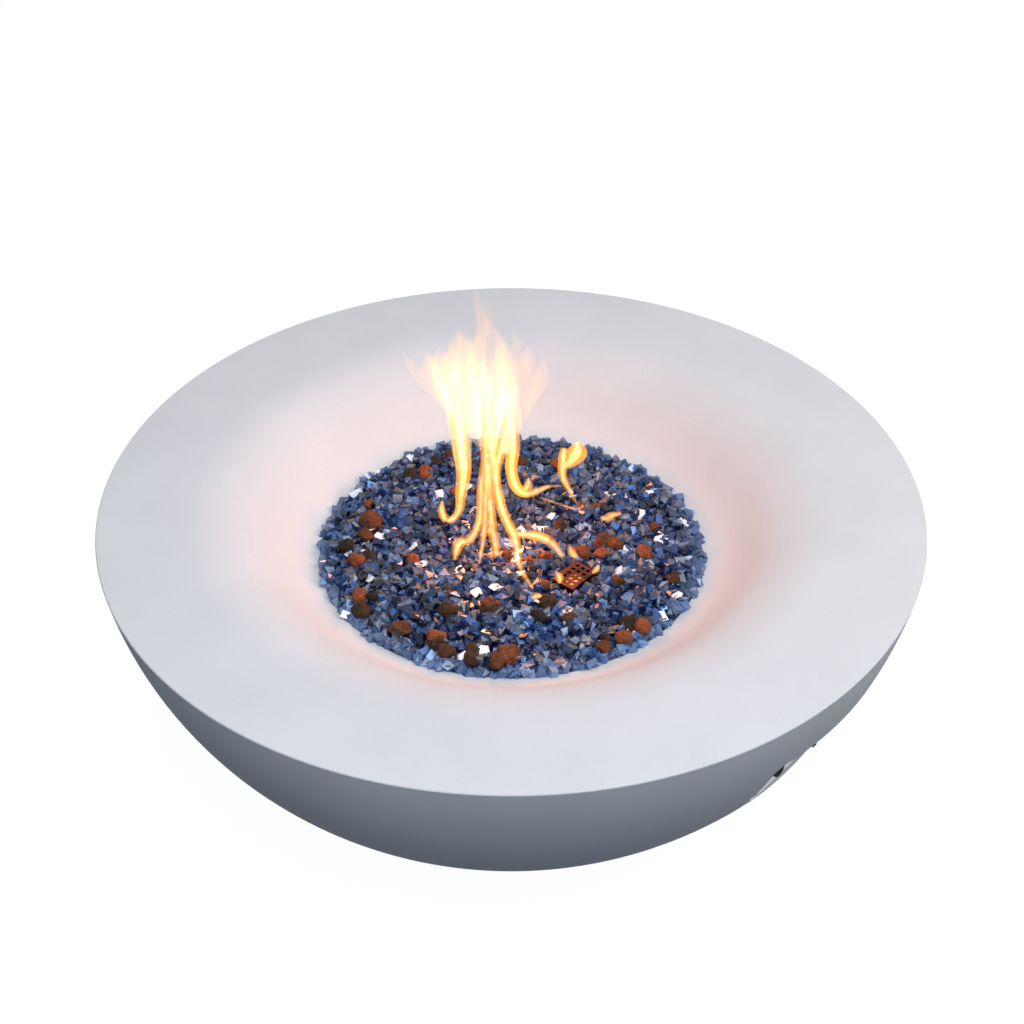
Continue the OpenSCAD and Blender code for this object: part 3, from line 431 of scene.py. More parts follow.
def turned(section):
    loop = bpy.data.meshes.new("section")
    count = len(section)
    loop.from_pydata([((r - SWEEP_R) * MM, -z * MM, 0.0) for r, z in section],
                     [(i, (i + 1) % count) for i in range(count)], [])
    mesh = run_tree(turning, turning_inputs, loop,
                    {"Steps round": STEPS_ROUND, "Sweep radius": SWEEP_R * MM, "Finish": concrete})
    shape = opened(mesh)
    bmesh.ops.recalc_face_normals(shape, faces=shape.faces)
    return closed(shape, mesh)


# %% Cut the recess, the window and the notch
FACE_Y, RECESS_HALF, RECESS_TOP, RECESS_ROUND = -450.0, 112.0, 262.497, 16.0
RECESS_LOW = 123.0
CONTROL_Z, WINDOW_HALF_W, WINDOW_HALF_H = 182.497, 66.0, 17.0
NOTCH_HALF, NOTCH_CENTRE = 22.0, 20.0
KNOB_X, WELL_R, WELL_SIDES = 38.0, 22.3, 48
OUTSIDE_Y = -RIM_R - 50
BOWL_CREASE, WINDOW_OVER, WELL_OVER = 30, 2, 3
CORNER_STEPS, NOTCH_STEPS = 8, 16


def prism(outline, y_from, y_to):
    shape = bmesh.new()
    near = [shape.verts.new((x * MM, y_from * MM, z * MM)) for x, z in outline]
    far = [shape.verts.new((x * MM, y_to * MM, z * MM)) for x, z in outline]
    shape.faces.new(near)
    shape.faces.new(list(reversed(far)))
    count = len(outline)
    for i in range(count):
        shape.faces.new((near[i], far[i], far[(i + 1) % count], near[(i + 1) % count]))
    bmesh.ops.recalc_face_normals(shape, faces=shape.faces)
    return closed(shape, bpy.data.meshes.new("prism"))


def box_outline(half, low, high):
    return [(-half, low), (half, low), (half, high), (-half, high)]


def cut_away(mesh, cutters):
    target = put("casting", mesh)
    tools = [put("cutter", cutter) for cutter in cutters]
    for tool in tools:
        modifier = target.modifiers.new("cut", "BOOLEAN")
        modifier.operation, modifier.object, modifier.solver = "DIFFERENCE", tool, "MANIFOLD"
    made = final_mesh(target)
    for tool in tools:
        bpy.data.objects.remove(tool)
    return made


round_x, round_z = RECESS_HALF - RECESS_ROUND, RECESS_TOP - RECESS_ROUND
recess_outline = ([(-RECESS_HALF, RECESS_LOW), (RECESS_HALF, RECESS_LOW)]
                  + arc((round_x, round_z), RECESS_ROUND, 0, 90, CORNER_STEPS)
                  + arc((-round_x, round_z), RECESS_ROUND, 90, 180, CORNER_STEPS))
notch_outline = ([(-NOTCH_HALF, FOOT_H - BEYOND), (NOTCH_HALF, FOOT_H - BEYOND)]
                 + arc((0.0, NOTCH_CENTRE), NOTCH_HALF, 0, 180, NOTCH_STEPS))
window_outline = box_outline(WINDOW_HALF_W, CONTROL_Z - WINDOW_HALF_H, CONTROL_Z + WINDOW_HALF_H)
well_outline = arc((KNOB_X, CONTROL_Z), WELL_R, 0, 360 - 360 / WELL_SIDES, WELL_SIDES - 1)
block_outline = box_outline(RECESS_HALF + WALL, RECESS_LOW, RECESS_TOP + WALL)
solid_mesh = turned(solid_section)
hollow_mesh = cut_away(turned(hollow_section), [prism(block_outline, OUTSIDE_Y, FACE_Y + WALL)])
bowl_mesh = cut_away(solid_mesh, [
    hollow_mesh,
    prism(recess_outline, OUTSIDE_Y, FACE_Y),
    prism(window_outline, FACE_Y - WINDOW_OVER, FACE_Y + WALL + WINDOW_OVER),
    prism(well_outline, FACE_Y - WELL_OVER, FACE_Y + WALL + WELL_OVER),
    prism(notch_outline, 0.0, RIM_R)])
soften(bowl_mesh, BOWL_CREASE)
place(bowl_mesh, "bowl_casting", "bowl", concrete, ["bowl_shell"])

# %% [markdown]
# ## Small-part finishes
# Most of the small parts are steel, brass, rubber and plastic. They share one recipe: a soft colour
# variation, a roughness that follows it, and a fine bump. What differs is the colour, the size of
# the pattern and whether it is drawn out into brush lines.


# %% Finishes: metals, rubbers and plastics
def worked_finish(name, dark, light, size_mm, rough_from, rough_to, bump_mm, stretch=(1, 1, 1), **sockets):
    finish, tree, shader = start_finish(name, {k.replace("_", " "): v for k, v in sockets.items()})
    drawn = add(tree, "ShaderNodeMapping", {}, {"Vector": own_place(tree), "Scale": stretch})
    pattern = noise(tree, drawn.outputs["Vector"], PER_METRE / size_mm, 3.0, 0.6)
    link(shader, "Base Color", ramp(tree, pattern, [(0.3, dark), (0.7, light)]))
    link(shader, "Roughness", ranged(tree, pattern, (0.3, 0.7), (rough_from, rough_to)))
    bumped(shader, pattern, 0.3, bump_mm * MM)
    return finish


# Brush lines are about 0.2 mm apart; they are drawn 1 mm apart and 30 mm long so that they show.
stainless = worked_finish("brushed_stainless_steel", "A9A9A8", "C2C2C1", 1.0, 0.26, 0.38, 0.05,
                          (0.033, 1, 1), Metallic=1.0)
# Deep-drawn pan steel has no brush lines, only a soft drawn haze.
pan_steel = worked_finish("deep_drawn_steel", "8F8F8E", "ACACAB", 14.0, 0.32, 0.5, 0.08, Metallic=1.0)
# Zinc plating is a little blue and slightly cloudy.
zinc = worked_finish("zinc_plated_steel", "8B8F94", "B4B8BC", 3.0, 0.3, 0.42, 0.04, Metallic=1.0)
spring_steel = worked_finish("oil_hardened_spring_wire", "54555A", "6D6E72", 2.0, 0.3, 0.45, 0.03,
                             Metallic=1.0)
# Machined brass dulls to a warm brown in its hollows.
brass = worked_finish("machined_brass", "9C7A3E", "C9A35B", 6.0, 0.22, 0.42, 0.05, Metallic=1.0)
copper = worked_finish("drawn_copper", "8C4E33", "C07A55", 5.0, 0.28, 0.45, 0.04, Metallic=1.0)
# Moulded rubber is matt and faintly dusty.
foot_rubber = worked_finish("moulded_epdm_rubber", "1B1B1C", "2A2A2B", 2.5, 0.75, 0.9, 0.15, IOR=1.5)
hose_rubber = worked_finish("extruded_gas_hose_rubber", "17181B", "26282C", 1.8, 0.5, 0.7, 0.12, IOR=1.5)
silicone = worked_finish("silicone_lead_jacket", "6E1C12", "8C2A1C", 3.0, 0.4, 0.55, 0.05, IOR=1.43)
# Glass-filled nylon has the fine even texture of a spark-eroded mould.
nylon = worked_finish("moulded_glass_filled_nylon", "050506", "0A0A0B", 0.9, 0.6, 0.75, 0.06, IOR=1.53,
                      Specular_IOR_Level=0.06)
abs_plastic = worked_finish("moulded_abs", "060607", "0C0C0D", 1.2, 0.5, 0.65, 0.03, IOR=1.54,
                            Specular_IOR_Level=0.1)
mark_paint = worked_finish("pad_printed_white_mark", "DAD9D4", "ECEBE6", 1.5, 0.4, 0.55, 0.03, IOR=1.5)
fibre = worked_finish("ceramic_fibre_felt", "C9C4B8", "E0DCD2", 1.5, 0.85, 0.95, 0.3, IOR=1.5)
alumina = worked_finish("glazed_alumina", "DCD7C8", "EBE7DA", 4.0, 0.15, 0.3, 0.04, IOR=1.76)
jacket = worked_finish("lacquered_battery_jacket", "8A4E1C", "A8652A", 8.0, 0.2, 0.3, 0.02, Metallic=0.6)
print("small-part finishes ready")

# %% [markdown]
# ## Parts that keep their CAD shape
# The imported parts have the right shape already, but their meshes are loose flat triangles with knife
# edges. A merged copy of each, most with a small bevel, catches the light along its edges as real
# machined and moulded parts do. Parts that are sealed inside others only get their finish.

# %% Dress the CAD parts
CREASE_DEGREES = 32
FLAT_DEGREES = 0.6


def dressed(node, name, body, slot, finish, bevel_mm=0.0):
    mesh = nodes[node].data.copy()
    shape = merged(mesh)
    bmesh.ops.dissolve_limit(shape, angle_limit=math.radians(FLAT_DEGREES), verts=shape.verts,
                             edges=shape.edges)
    if bevel_mm:
        corners = [e for e in shape.edges
                   if len(e.link_faces) == 2 and e.calc_face_angle(0.0) > math.radians(CREASE_DEGREES)]
        bmesh.ops.bevel(shape, geom=corners, offset=bevel_mm * MM, offset_type="OFFSET", segments=2,
                        profile=0.5, affect="EDGES", clamp_overlap=True)
    closed(shape, mesh)
    soften(mesh, CREASE_DEGREES)
    return place(mesh, name, body, finish, [node])


DRESSED = [
    ("rubber_feet", "rubber_foot_pads", "bowl", "foot_rubber", foot_rubber, 0.8),
    ("foot_screws", "foot_screw_heads", "bowl", "zinc_steel", zinc, 0.3),
    ("burner_pan", "burner_pan_pressing", "bowl", "stainless", pan_steel, 0.0),
    ("burner_nipple", "burner_inlet_nipple", "bowl", "brass", brass, 0.3),
    ("burner_locknut", "burner_lock_nut", "bowl", "brass", brass, 0.5),
    ("air_mixer", "air_mixer_tube", "bowl", "brass", brass, 0.5),
    ("orifice_elbow", "orifice_elbow_fitting", "bowl", "brass", brass, 0.6),
    ("control_plate", "control_face_plate", "bowl", "stainless", stainless, 0.4),
    ("plate_screws", "face_plate_screws", "bowl", "zinc_steel", zinc, 0.35),
    ("valve_body", "gas_valve_body", "bowl", "brass", brass, 0.5),
    ("valve_nut", "gas_valve_nut", "bowl", "zinc_steel", zinc, 0.4),
    ("control_knob", "control_knob_moulding", "knob", "black_plastic", nylon, 0.5),
    ("knob_pointer", "knob_pointer_mark", "knob", "white_mark", mark_paint, 0.0),
    ("outlet_fitting", "valve_outlet_fitting", "bowl", "brass", brass, 0.4),
    ("gas_inlet", "gas_inlet_fitting", "bowl", "brass", brass, 0.3),
    ("thermocouple_nut", "thermocouple_lead_nut", "bowl", "brass", brass, 0.4),
    ("igniter_body", "igniter_housing", "bowl", "black_plastic", abs_plastic, 0.5),
    ("igniter_nut", "igniter_lock_nut", "bowl", "black_plastic", abs_plastic, 0.4),
    ("igniter_button", "igniter_push_button", "igniter_button", "black_plastic", nylon, 0.0),
]
for row in DRESSED:
    dressed(*row)

SEALED = {"pan_gasket": fibre, "pan_screws": zinc, "burner_ring": pan_steel, "pilot_bracket": stainless,
          "hood_screws": zinc, "thermocouple": copper, "electrode_ceramic": alumina,
          "spark_rod": spring_steel, "valve_stem": zinc, "valve_plunger": zinc, "igniter_battery": jacket}
for node, finish in SEALED.items():
    paint(nodes[node].data, finish)
print(len(DRESSED), "parts dressed,", len(SEALED), "sealed parts painted")

# %% Springs
# Each spring gets a dressed copy of its coil, with a mesh of its own.
for node, joint in (("valve_spring", "knob_push"), ("igniter_spring", "igniter_press")):
    coil = dressed(node, node + "_coil", "bowl", "spring_steel", spring_steel)
    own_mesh(coil)

# %% [markdown]
# ## Hose and leads
# Under the bowl a rubber hose takes the gas from the valve to the burner. Two thin leads run to the
# pilot: one from the valve to the thermocouple, one from the igniter to its electrode. Each hangs
# between two fixed ends: straight out of its fitting, then down in a slack curve. A bend is written
# as its share of the way, of the bulge to the side and of the sag.

# %% Hose and leads
CORD_STEPS = 8
CORD_FACETS = 5


def slack_route(start, end, way_out, way_in, straight, bulge, sag, bends):
    start, end = Vector(start), Vector(end)
    middle = [start + (end - start) * way + Vector((bulge * side, 0, -sag * down))
              for way, side, down in bends]
    return [start, start + straight * Vector(way_out)] + middle + [end - straight * Vector(way_in), end]


def hang_cord(name, node, finish, diameter, route):
    line = [point * MM for point in smooth_line(route, CORD_STEPS)]
    data = bpy.data.curves.new(name, "CURVE")
    data.dimensions = "3D"
    data.bevel_depth, data.bevel_resolution, data.use_fill_caps = diameter / 2 * MM, CORD_FACETS, True
    spline = data.splines.new("POLY")
    spline.points.add(len(line) - 1)
    for point, spot in zip(spline.points, line):
        point.co = (*spot, 1.0)
    data.materials.append(finish)
    piece = put(name, data)
    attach(piece, "bowl")
    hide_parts(node)


hang_cord("burner_gas_hose", "burner_hose", hose_rubber, 12.0, slack_route(
    (72.3, -393, 182.5), (0, -23.3, 118.2), (1, 0, 0), (0, 1, 0), 20, 90, 15,
    [(0.034, 0.61, 0.13), (0.144, 0.96, 0.33), (0.3, 1, 0.73), (0.485, 0.79, 1), (0.67, 0.44, 1),
     (0.82, 0.1, 0.8)]))
hang_cord("thermocouple_capillary", "thermocouple_lead", copper, 3.0, slack_route(
    (38, -386, 156.2), (6, -112, 175.9), (0, 0, -1), (0, 0, 1), 11, 0, 42,
    [(0.06, 0, 0.62), (0.226, 0, 0.88), (0.492, 0, 1), (0.757, 0, 0.98), (0.93, 0, 0.69)]))
hang_cord("igniter_spark_lead", "igniter_lead", silicone, 4.0, slack_route(
    (-38, -359.7, 182.5), (-18, -112, 173.9), (0, 1, 0), (0, 0, 1), 11, -15, 42,
    [(0.19, 0.6, 0.31), (0.456, 1, 0.83), (0.722, 0.6, 1), (0.92, 0.07, 0.74)]))

# %% [markdown]
# ## Fire glass
# Fire glass is tempered plate glass, coated on one side like a mirror and broken into chips about
# 10 mm across. Each chip is a handful of flat facets, and the light they throw back is painted into
# their colour: the chips range from navy to pale blue, and that pale end is a painted sky reflection,
# each facet gets a painted shade, fractures a few millimetres apart get painted glints, and a few
# chips are painted white as glints where the coating would face the light. Where the bed thins at
# its edge, a painted pale glow stands for light coming through. A node tree scatters convex shards
# over the bed's upper faces and stores two random numbers, one for the chip and one for the facet,
# and the finish reads both.

# %% Finish: coated fire glass
FRACTURE_MM = 3.6
EDGE_GLOW_FROM_MM, EDGE_GLOW_TO_MM = 236.0, 262.0
PAINTED_EDGE_GLOW = "7FA2D4"
glass, tree, shader = start_finish("cobalt_coated_fire_glass", {"IOR": 1.52, "Roughness": 0.09})
facet_shade_number = number(tree, "facet_painted_shade")
# Chip tone: the glass's own navy and blue, with a painted sky reflection at the pale end.
body = ramp(tree, number(tree, "chip_tone_and_glint"),
            [(0.0, "10172C"), (0.28, "1D2E56"), (0.5, "2E4C86"), (0.68, "4872B2"), (0.8, "616A84"),
             (0.9, "6F6264"), (1.0, "8CACD8")])
# Painted facet shade: each facet is darkened by its own random share.
painted_facet_shade = times(tree, body, ranged(tree, facet_shade_number, UNIT, (0.3, 1.0)))
on_bed = own_place(tree)
# Painted glints: each fracture cell is made darker, or up to 1.4 times lighter.
fractures = cells(tree, on_bed, PER_METRE / FRACTURE_MM)["Color"]
glint = add(tree, "ShaderNodeSeparateColor", {}, {0: fractures}).outputs[0]
painted_fracture_glints = times(tree, painted_facet_shade, ranged(tree, glint, UNIT, (0.6, 1.4)))
# Painted light: towards the bed's edge the colour turns half way to pale blue, a painted glow of light
# coming through the glass.
flat_place = vector_maths(tree, "MULTIPLY", on_bed, (1, 1, 0)).outputs[0]
from_middle = vector_maths(tree, "LENGTH", flat_place).outputs["Value"]
painted_edge_glow_share = ranged(tree, from_middle, (EDGE_GLOW_FROM_MM * MM, EDGE_GLOW_TO_MM * MM), (0.0, 0.5))
link(shader, "Base Color", mixed(tree, painted_edge_glow_share, painted_fracture_glints, linear(PAINTED_EDGE_GLOW)))
link(shader, "Metallic", ranged(tree, facet_shade_number, (0.55, 1.0), (0.0, 0.5)))

# Painted glints: these few chips are near-white with little metal, standing for the white flash of the
# mirror coating.
painted_glint_glass, tree, shader = start_finish("fire_glass_painted_white_glints", {"Metallic": 0.1, "Roughness": 0.22})
painted_glint_whites = [(0.0, "FAFBFC"), (0.75, "EFF3F8"), (1.0, "B9CBE0")]
link(shader, "Base Color", ramp(tree, number(tree, "chip_tone_and_glint"), painted_glint_whites))

# Painted shade: the bed under the chips is dark navy, standing for the shade in the gaps between them.
bed_painted_shade_glass = worked_finish("fire_glass_below_painted_shade", "0D142B", "1C2A52", 7.0, 0.15, 0.35, 0.6, IOR=1.52)
bed = nodes["fire_glass"].data
paint(bed, bed_painted_shade_glass)
print("finish:", glass.name)

# %% Node tree: scatter chips over the bed
HOOD_TAB = 14.0
HOOD_ROOM = 4.0
UPWARD = 0.3
JITTER = 0.2
CHIP_SIZES = [(1.0, 0.9, 0.75), (1.25, 0.75, 0.5), (0.9, 0.9, 0.85), (1.3, 0.85, 0.4), (1.1, 1.0, 0.55),
              (0.85, 0.7, 0.7), (1.2, 0.6, 0.6), (1.0, 0.85, 0.95)]
RISE_SEED, TURN_SEED, SIZE_SEED, CHIP_SEED, FACET_SEED, SHARD_SEED = 3, 5, 7, 11, 13, 20
hood_low, hood_high = [Vector(corner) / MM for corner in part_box("pilot_hood")]
hood_middle = (hood_low + hood_high) / 2
hood_half = ((hood_high.x - hood_low.x) / 2 - HOOD_TAB + HOOD_ROOM,
             (hood_high.y - hood_low.y) / 2 + HOOD_ROOM)

chips, chip_inputs, given = start_tree("scattered_chips", {
    **{label: "NodeSocketFloat" for label in ("Chips per square metre", "Smallest", "Largest", "Lowest",
                                              "Highest", "Tilt", "Flatness")},
    "Seed": "NodeSocketInt", "Finish": "NodeSocketMaterial"})
where = axes(chips, field(chips, "Position"))
upward = maths(chips, "GREATER_THAN", axes(chips, field(chips, "Normal"))["Z"], UPWARD)
off_x, off_y = [maths(chips, "COMPARE", where[i], hood_middle[i] * MM, hood_half[i] * MM) for i in (0, 1)]
points = add(chips, "GeometryNodeDistributePointsOnFaces", {"distribute_method": "RANDOM"},
             {"Mesh": given["Geometry"], "Density": given["Chips per square metre"],
              "Seed": given["Seed"], "Selection": upward})
away = add(chips, "GeometryNodeDeleteGeometry", {"domain": "POINT"},
           {"Geometry": points.outputs["Points"], "Selection": maths(chips, "MULTIPLY", off_x, off_y)})
rise = draw(chips, given["Lowest"], given["Highest"], RISE_SEED)
raised = moved(chips, away.outputs[0], combined(chips, 0.0, 0.0, rise))
least = maths(chips, "MULTIPLY", given["Tilt"], -1.0)
low_turn = combined(chips, least, least, 0.0)
high_turn = combined(chips, given["Tilt"], given["Tilt"], 2 * math.pi)
rotation = rotated(chips, draw(chips, low_turn, high_turn, TURN_SEED, vector=True))
size = draw(chips, given["Smallest"], given["Largest"], SIZE_SEED)
sizes = combined(chips, size, size, maths(chips, "MULTIPLY", size, given["Flatness"]))
variants = chips.nodes.new("GeometryNodeGeometryToInstance")
for i, chip_size in enumerate(CHIP_SIZES):
    block = add(chips, "GeometryNodeMeshCube", {}, {"Size": chip_size})
    jitter = draw(chips, (-JITTER,) * 3, (JITTER,) * 3, SHARD_SEED + i, vector=True)
    shard = add(chips, "GeometryNodeConvexHull", {}, {0: moved(chips, block.outputs["Mesh"], jitter)})
    link(variants, 0, shard.outputs[0])
laid = add(chips, "GeometryNodeInstanceOnPoints", {},
           {"Points": raised, "Instance": variants.outputs[0], "Pick Instance": True,
            "Rotation": rotation, "Scale": sizes})
chip_draw = draw(chips, 0.0, 1.0, CHIP_SEED)
chip_named = stored(chips, laid.outputs["Instances"], "INSTANCE", "chip_tone_and_glint", chip_draw)
facet_draw = draw(chips, 0.0, 1.0, FACET_SEED, ID=field(chips, "Index"))
facet_named = stored(chips, realised(chips, chip_named), "FACE", "facet_painted_shade", facet_draw)
end_tree(chips, facet_named, given["Finish"])


def scatter(name, density, sizes, lifts, tilt, flatness, seed, finish):
    mesh = run_tree(chips, chip_inputs, bed.copy(),
                    {"Chips per square metre": float(density), "Smallest": sizes[0] * MM,
                     "Largest": sizes[1] * MM, "Lowest": lifts[0] * MM, "Highest": lifts[1] * MM,
                     "Tilt": math.radians(tilt), "Flatness": float(flatness), "Seed": seed,
                     "Finish": finish})
    place(mesh, name, "bowl")


scatter("fire_glass_chips", 19500, (8.5, 14.5), (-4.0, 4.0), 180, 1.0, 1, glass)
# The second scatter lays the few chips that are painted white as glints.
scatter("fire_glass_painted_glint_chips", 300, (9.0, 16.0), (4.0, 7.0), 32, 0.35, 2, painted_glint_glass)

# %% [markdown]
# ## Lava rock
# Lava rock is a brown volcanic stone, full of gas bubbles, tumbled to lumps of 15 to 40 mm, some dark
# and olive, some rusty. Each stone sits where its CAD stone sits: the script finds the CAD stones as
# separate islands and keeps their middle and half width as points. A few pebbles lie between them.
# A node tree puts a ball on each point and pushes its surface in and out with two noises, so that
# no two stones are alike.

# %% Finish: lava rock
PORE_MM = 3.2
LAVA_CLOUD_MM = 45.0
PORE_BUMP_MM = 1.2
lava, tree, shader = start_finish("tumbled_lava_rock",
                                  {"IOR": 1.5, "Specular IOR Level": 0.2, "Roughness": 0.95})
on_stone = own_place(tree)
broad = noise(tree, on_stone, PER_METRE / LAVA_CLOUD_MM, 3.0)
pores = cells(tree, on_stone, PER_METRE / PORE_MM)["Distance"]
stone_shift = maths(tree, "MULTIPLY_ADD", number(tree, "stone_tint"), 0.7, -0.35)
stone_tone = ramp(tree, maths(tree, "ADD", stone_shift, broad),
                  [(0.2, "2E261E"), (0.42, "4A3122"), (0.6, "6C3E28"), (0.82, "8A4A2E")])
# Painted shade: the colour darkens towards the middle of each pore, where shade falls in the hollow.
painted_pore_shade = ranged(tree, pores, (0.1, 0.55), (0.45, 1.15))
link(shader, "Base Color", times(tree, stone_tone, painted_pore_shade))
bumped(shader, pores, 0.8, PORE_BUMP_MM * MM)
paint(nodes["lava_fill"].data, lava)
print("finish:", lava.name)

# %% Find the CAD stones
# The noises take a little off a ball, so it starts larger than its stone.
STONE_SWELL = 1.25
STONE_SEAT = 0.5
shape = merged(nodes["lava_rocks"].data)
seen, stones = set(), []
for vert in shape.verts:
    if vert in seen:
        continue
    island, queue = [], [vert]
    seen.add(vert)
    while queue:
        v = queue.pop()
        island.append(v.co.copy())
        for edge in v.link_edges:
            other = edge.other_vert(v)
            if other not in seen:
                seen.add(other)
                queue.append(other)
    low = [min(p[i] for p in island) for i in range(3)]
    high = [max(p[i] for p in island) for i in range(3)]
    half = (high[0] - low[0] + high[1] - low[1]) / 4
    stones.append(((low[0] + high[0]) / 2, (low[1] + high[1]) / 2, low[2] + STONE_SEAT * half,
                   STONE_SWELL * half))
shape.free()
stones.sort()
print(len(stones), "stones, on balls of half width", round(min(s[3] for s in stones) / MM, 1), "to",
      round(max(s[3] for s in stones) / MM, 1), "mm")

# %% Node tree: rough stones on points
SHAPE_LOW, SHAPE_HIGH = (0.9, 0.8, 0.72), (1.12, 1.0, 0.92)
STONE_TILT = 0.4
rocks, rock_inputs, given = start_tree("rough_stones", {
    **{label: "NodeSocketFloat" for label in ("Lump size", "Lump depth", "Pore size", "Pore depth")},
    "Fineness": "NodeSocketInt", "Seed": "NodeSocketInt", "Finish": "NodeSocketMaterial"})
ball = add(rocks, "GeometryNodeMeshIcoSphere", {}, {"Radius": 1.0, "Subdivisions": given["Fineness"]})
half_width = add(rocks, "GeometryNodeInputNamedAttribute", {"data_type": "FLOAT"}, {"Name": "half_width"})
lengths = draw(rocks, SHAPE_LOW, SHAPE_HIGH, given["Seed"], vector=True)
turn = draw(rocks, (-STONE_TILT, -STONE_TILT, 0.0), (STONE_TILT, STONE_TILT, 2 * math.pi), given["Seed"],
            vector=True)
laid = add(rocks, "GeometryNodeInstanceOnPoints", {},
           {"Points": given["Geometry"], "Instance": ball.outputs["Mesh"],
            "Rotation": rotated(rocks, turn), "Scale": scaled(rocks, lengths, half_width.outputs[0])})
stone_draw = draw(rocks, 0.0, 1.0, given["Seed"])
stone_named = stored(rocks, laid.outputs["Instances"], "INSTANCE", "stone_tint", stone_draw)
spot = field(rocks, "Position")
outward = field(rocks, "Normal")
lumps = noise(rocks, spot, maths(rocks, "DIVIDE", 1.0, given["Lump size"]), 2.0)
lump_push = ranged(rocks, lumps, (0.2, 0.8), (-1.0, 0.6), clamp=False)
holes = cells(rocks, spot, maths(rocks, "DIVIDE", 1.0, given["Pore size"]))["Distance"]
hole_push = ranged(rocks, holes, (0.1, 0.5), (-1.0, 0.0))
push = maths(rocks, "ADD", maths(rocks, "MULTIPLY", lump_push, given["Lump depth"]),
             maths(rocks, "MULTIPLY", hole_push, given["Pore depth"]))
rough_stones = moved(rocks, realised(rocks, stone_named), scaled(rocks, outward, push))
end_tree(rocks, rough_stones, given["Finish"])

# %% Lay the stones and the pebbles
# Each pebble is an angle in degrees, a distance from the middle and a half width in millimetres.
PEBBLES = [
    (128, 193, 10), (132, 216, 11), (142, 207, 10), (107, 208, 8), (153, 161, 7), (163, 210, 9),
    (166, 235, 11), (194, 214, 11), (200, 233, 11), (208, 238, 10), (216, 238, 11), (184, 135, 7),
    (85, 198, 10), (78, 193, 9), (70, 209, 9), (77, 130, 7), (346, 115, 7), (292, 98, 11), (294, 122, 9),
    (305, 137, 11), (264, 238, 11), (256, 238, 10), (249, 237, 9), (239, 141, 9), (232, 164, 10),
    (244, 102, 8), (267, 62, 8), (247, 52, 8), (20, 180, 8)]
PEBBLE_SEAT = 0.7
ABOVE_BED = 0.5
LUMP_SHARE, STONE_PORE_MM, STONE_PORE_DEPTH_MM = 0.4, 6.0, 1.6
STONE_CREASE = 60
bed_tree = BVHTree.FromPolygons([v.co for v in bed.vertices], [tuple(f.vertices) for f in bed.polygons])
pebbles = []
for angle, reach, half in PEBBLES:
    x, y = reach * MM * math.cos(math.radians(angle)), reach * MM * math.sin(math.radians(angle))
    top = bed_tree.ray_cast(Vector((x, y, ABOVE_BED)), Vector((0, 0, -1)))[0]
    pebbles.append((x, y, top.z + PEBBLE_SEAT * half * MM, STONE_SWELL * half * MM))


def lay_stones(name, spots, lump_mm, fineness, seed, stands_for):
    points = bpy.data.meshes.new("points")
    points.from_pydata([s[:3] for s in spots], [], [])
    points.attributes.new("half_width", "FLOAT", "POINT").data.foreach_set("value", [s[3] for s in spots])
    mesh = run_tree(rocks, rock_inputs, points,
                    {"Lump size": lump_mm * MM, "Lump depth": LUMP_SHARE * lump_mm * MM,
                     "Pore size": STONE_PORE_MM * MM, "Pore depth": STONE_PORE_DEPTH_MM * MM,
                     "Fineness": fineness, "Seed": seed, "Finish": lava})
    soften(mesh, STONE_CREASE)
    place(mesh, name, "bowl", None, stands_for)


lay_stones("lava_stones", stones, 15.0, 4, 4, ["lava_rocks"])
lay_stones("lava_pebbles", pebbles, 12.0, 3, 9, [])

# %% [markdown]
# ## Pilot hood
# The hood is a thin stainless box with rows of holes over the pilot flame. Months of flame have run
# its colour through bronze, purple and blue, as oxide films do on hot steel. The tint follows a
# cloud pattern of about 14 mm.

# %% Finish and piece: heat-tinted hood
TINT_MM = 14.0
tinted, tree, shader = start_finish("heat_tinted_stainless_sheet", {"Metallic": 1.0})
drift = noise(tree, own_place(tree), PER_METRE / TINT_MM, 3.0)
film = [(0.25, "2C2230"), (0.4, "4F2C2A"), (0.52, "6E4230"), (0.62, "5C3440"), (0.75, "3A2E45")]
link(shader, "Base Color", ramp(tree, drift, film))
link(shader, "Roughness", ranged(tree, drift, UNIT, (0.25, 0.55)))
dressed("pilot_hood", "pilot_hood_sheet", "bowl", "tinted_steel", tinted, 0.25)

# %% [markdown]
# ## Flame
# A flame is glowing gas, not a part, so it belongs to the stage: it is seen in the picture and is
# left out of the object. Each tongue is a tapered tube along a few points. The tubes are joined and
# remeshed so that they flow into each other, and their inside is a glowing volume: the longer the
# way through it, the brighter it looks. The same tongues are laid inside each other, a thin orange
# sheath round a narrower core that glows almost white. Towards the top the gas thins out, cools to
# peach and is drawn into streaks.

# %% Flame tongues
STREAK_MM = 9.0
STREAK_SQUEEZE = 0.15
FADE_FROM_MM = 510.0
COOL_FROM_MM, COOL_TO_MM, COOL_GAS = 490.0, 640.0, "FFAE68"
TONGUE_SIDES, TONGUE_STEPS = 10, 5
TONGUE_DEPTH, TONGUE_LEAST_MM = 0.7, 0.3


def add_tongue(shape, knots, swell):
    line = smooth_line(knots, TONGUE_STEPS)
    turns = [2 * math.pi * k / TONGUE_SIDES for k in range(TONGUE_SIDES)]
    rings = []
    for i, point in enumerate(line):
        ahead = line[min(i + 1, len(line) - 1)] - line[max(i - 1, 0)]
        ahead = Vector(ahead[:3]).normalized()
        across = (camera_right - ahead * camera_right.dot(ahead)).normalized()
        other = TONGUE_DEPTH * ahead.cross(across)
        radius = max(swell * point[3], TONGUE_LEAST_MM)
        spots = [Vector(point[:3]) + radius * (math.cos(a) * across + math.sin(a) * other) for a in turns]
        rings.append([shape.verts.new(spot * MM) for spot in spots])
    for near, far in zip(rings, rings[1:]):
        for k in range(TONGUE_SIDES):
            after = (k + 1) % TONGUE_SIDES
            shape.faces.new((near[k], near[after], far[after], far[k]))
    shape.faces.new(list(reversed(rings[0])))
    shape.faces.new(rings[-1])


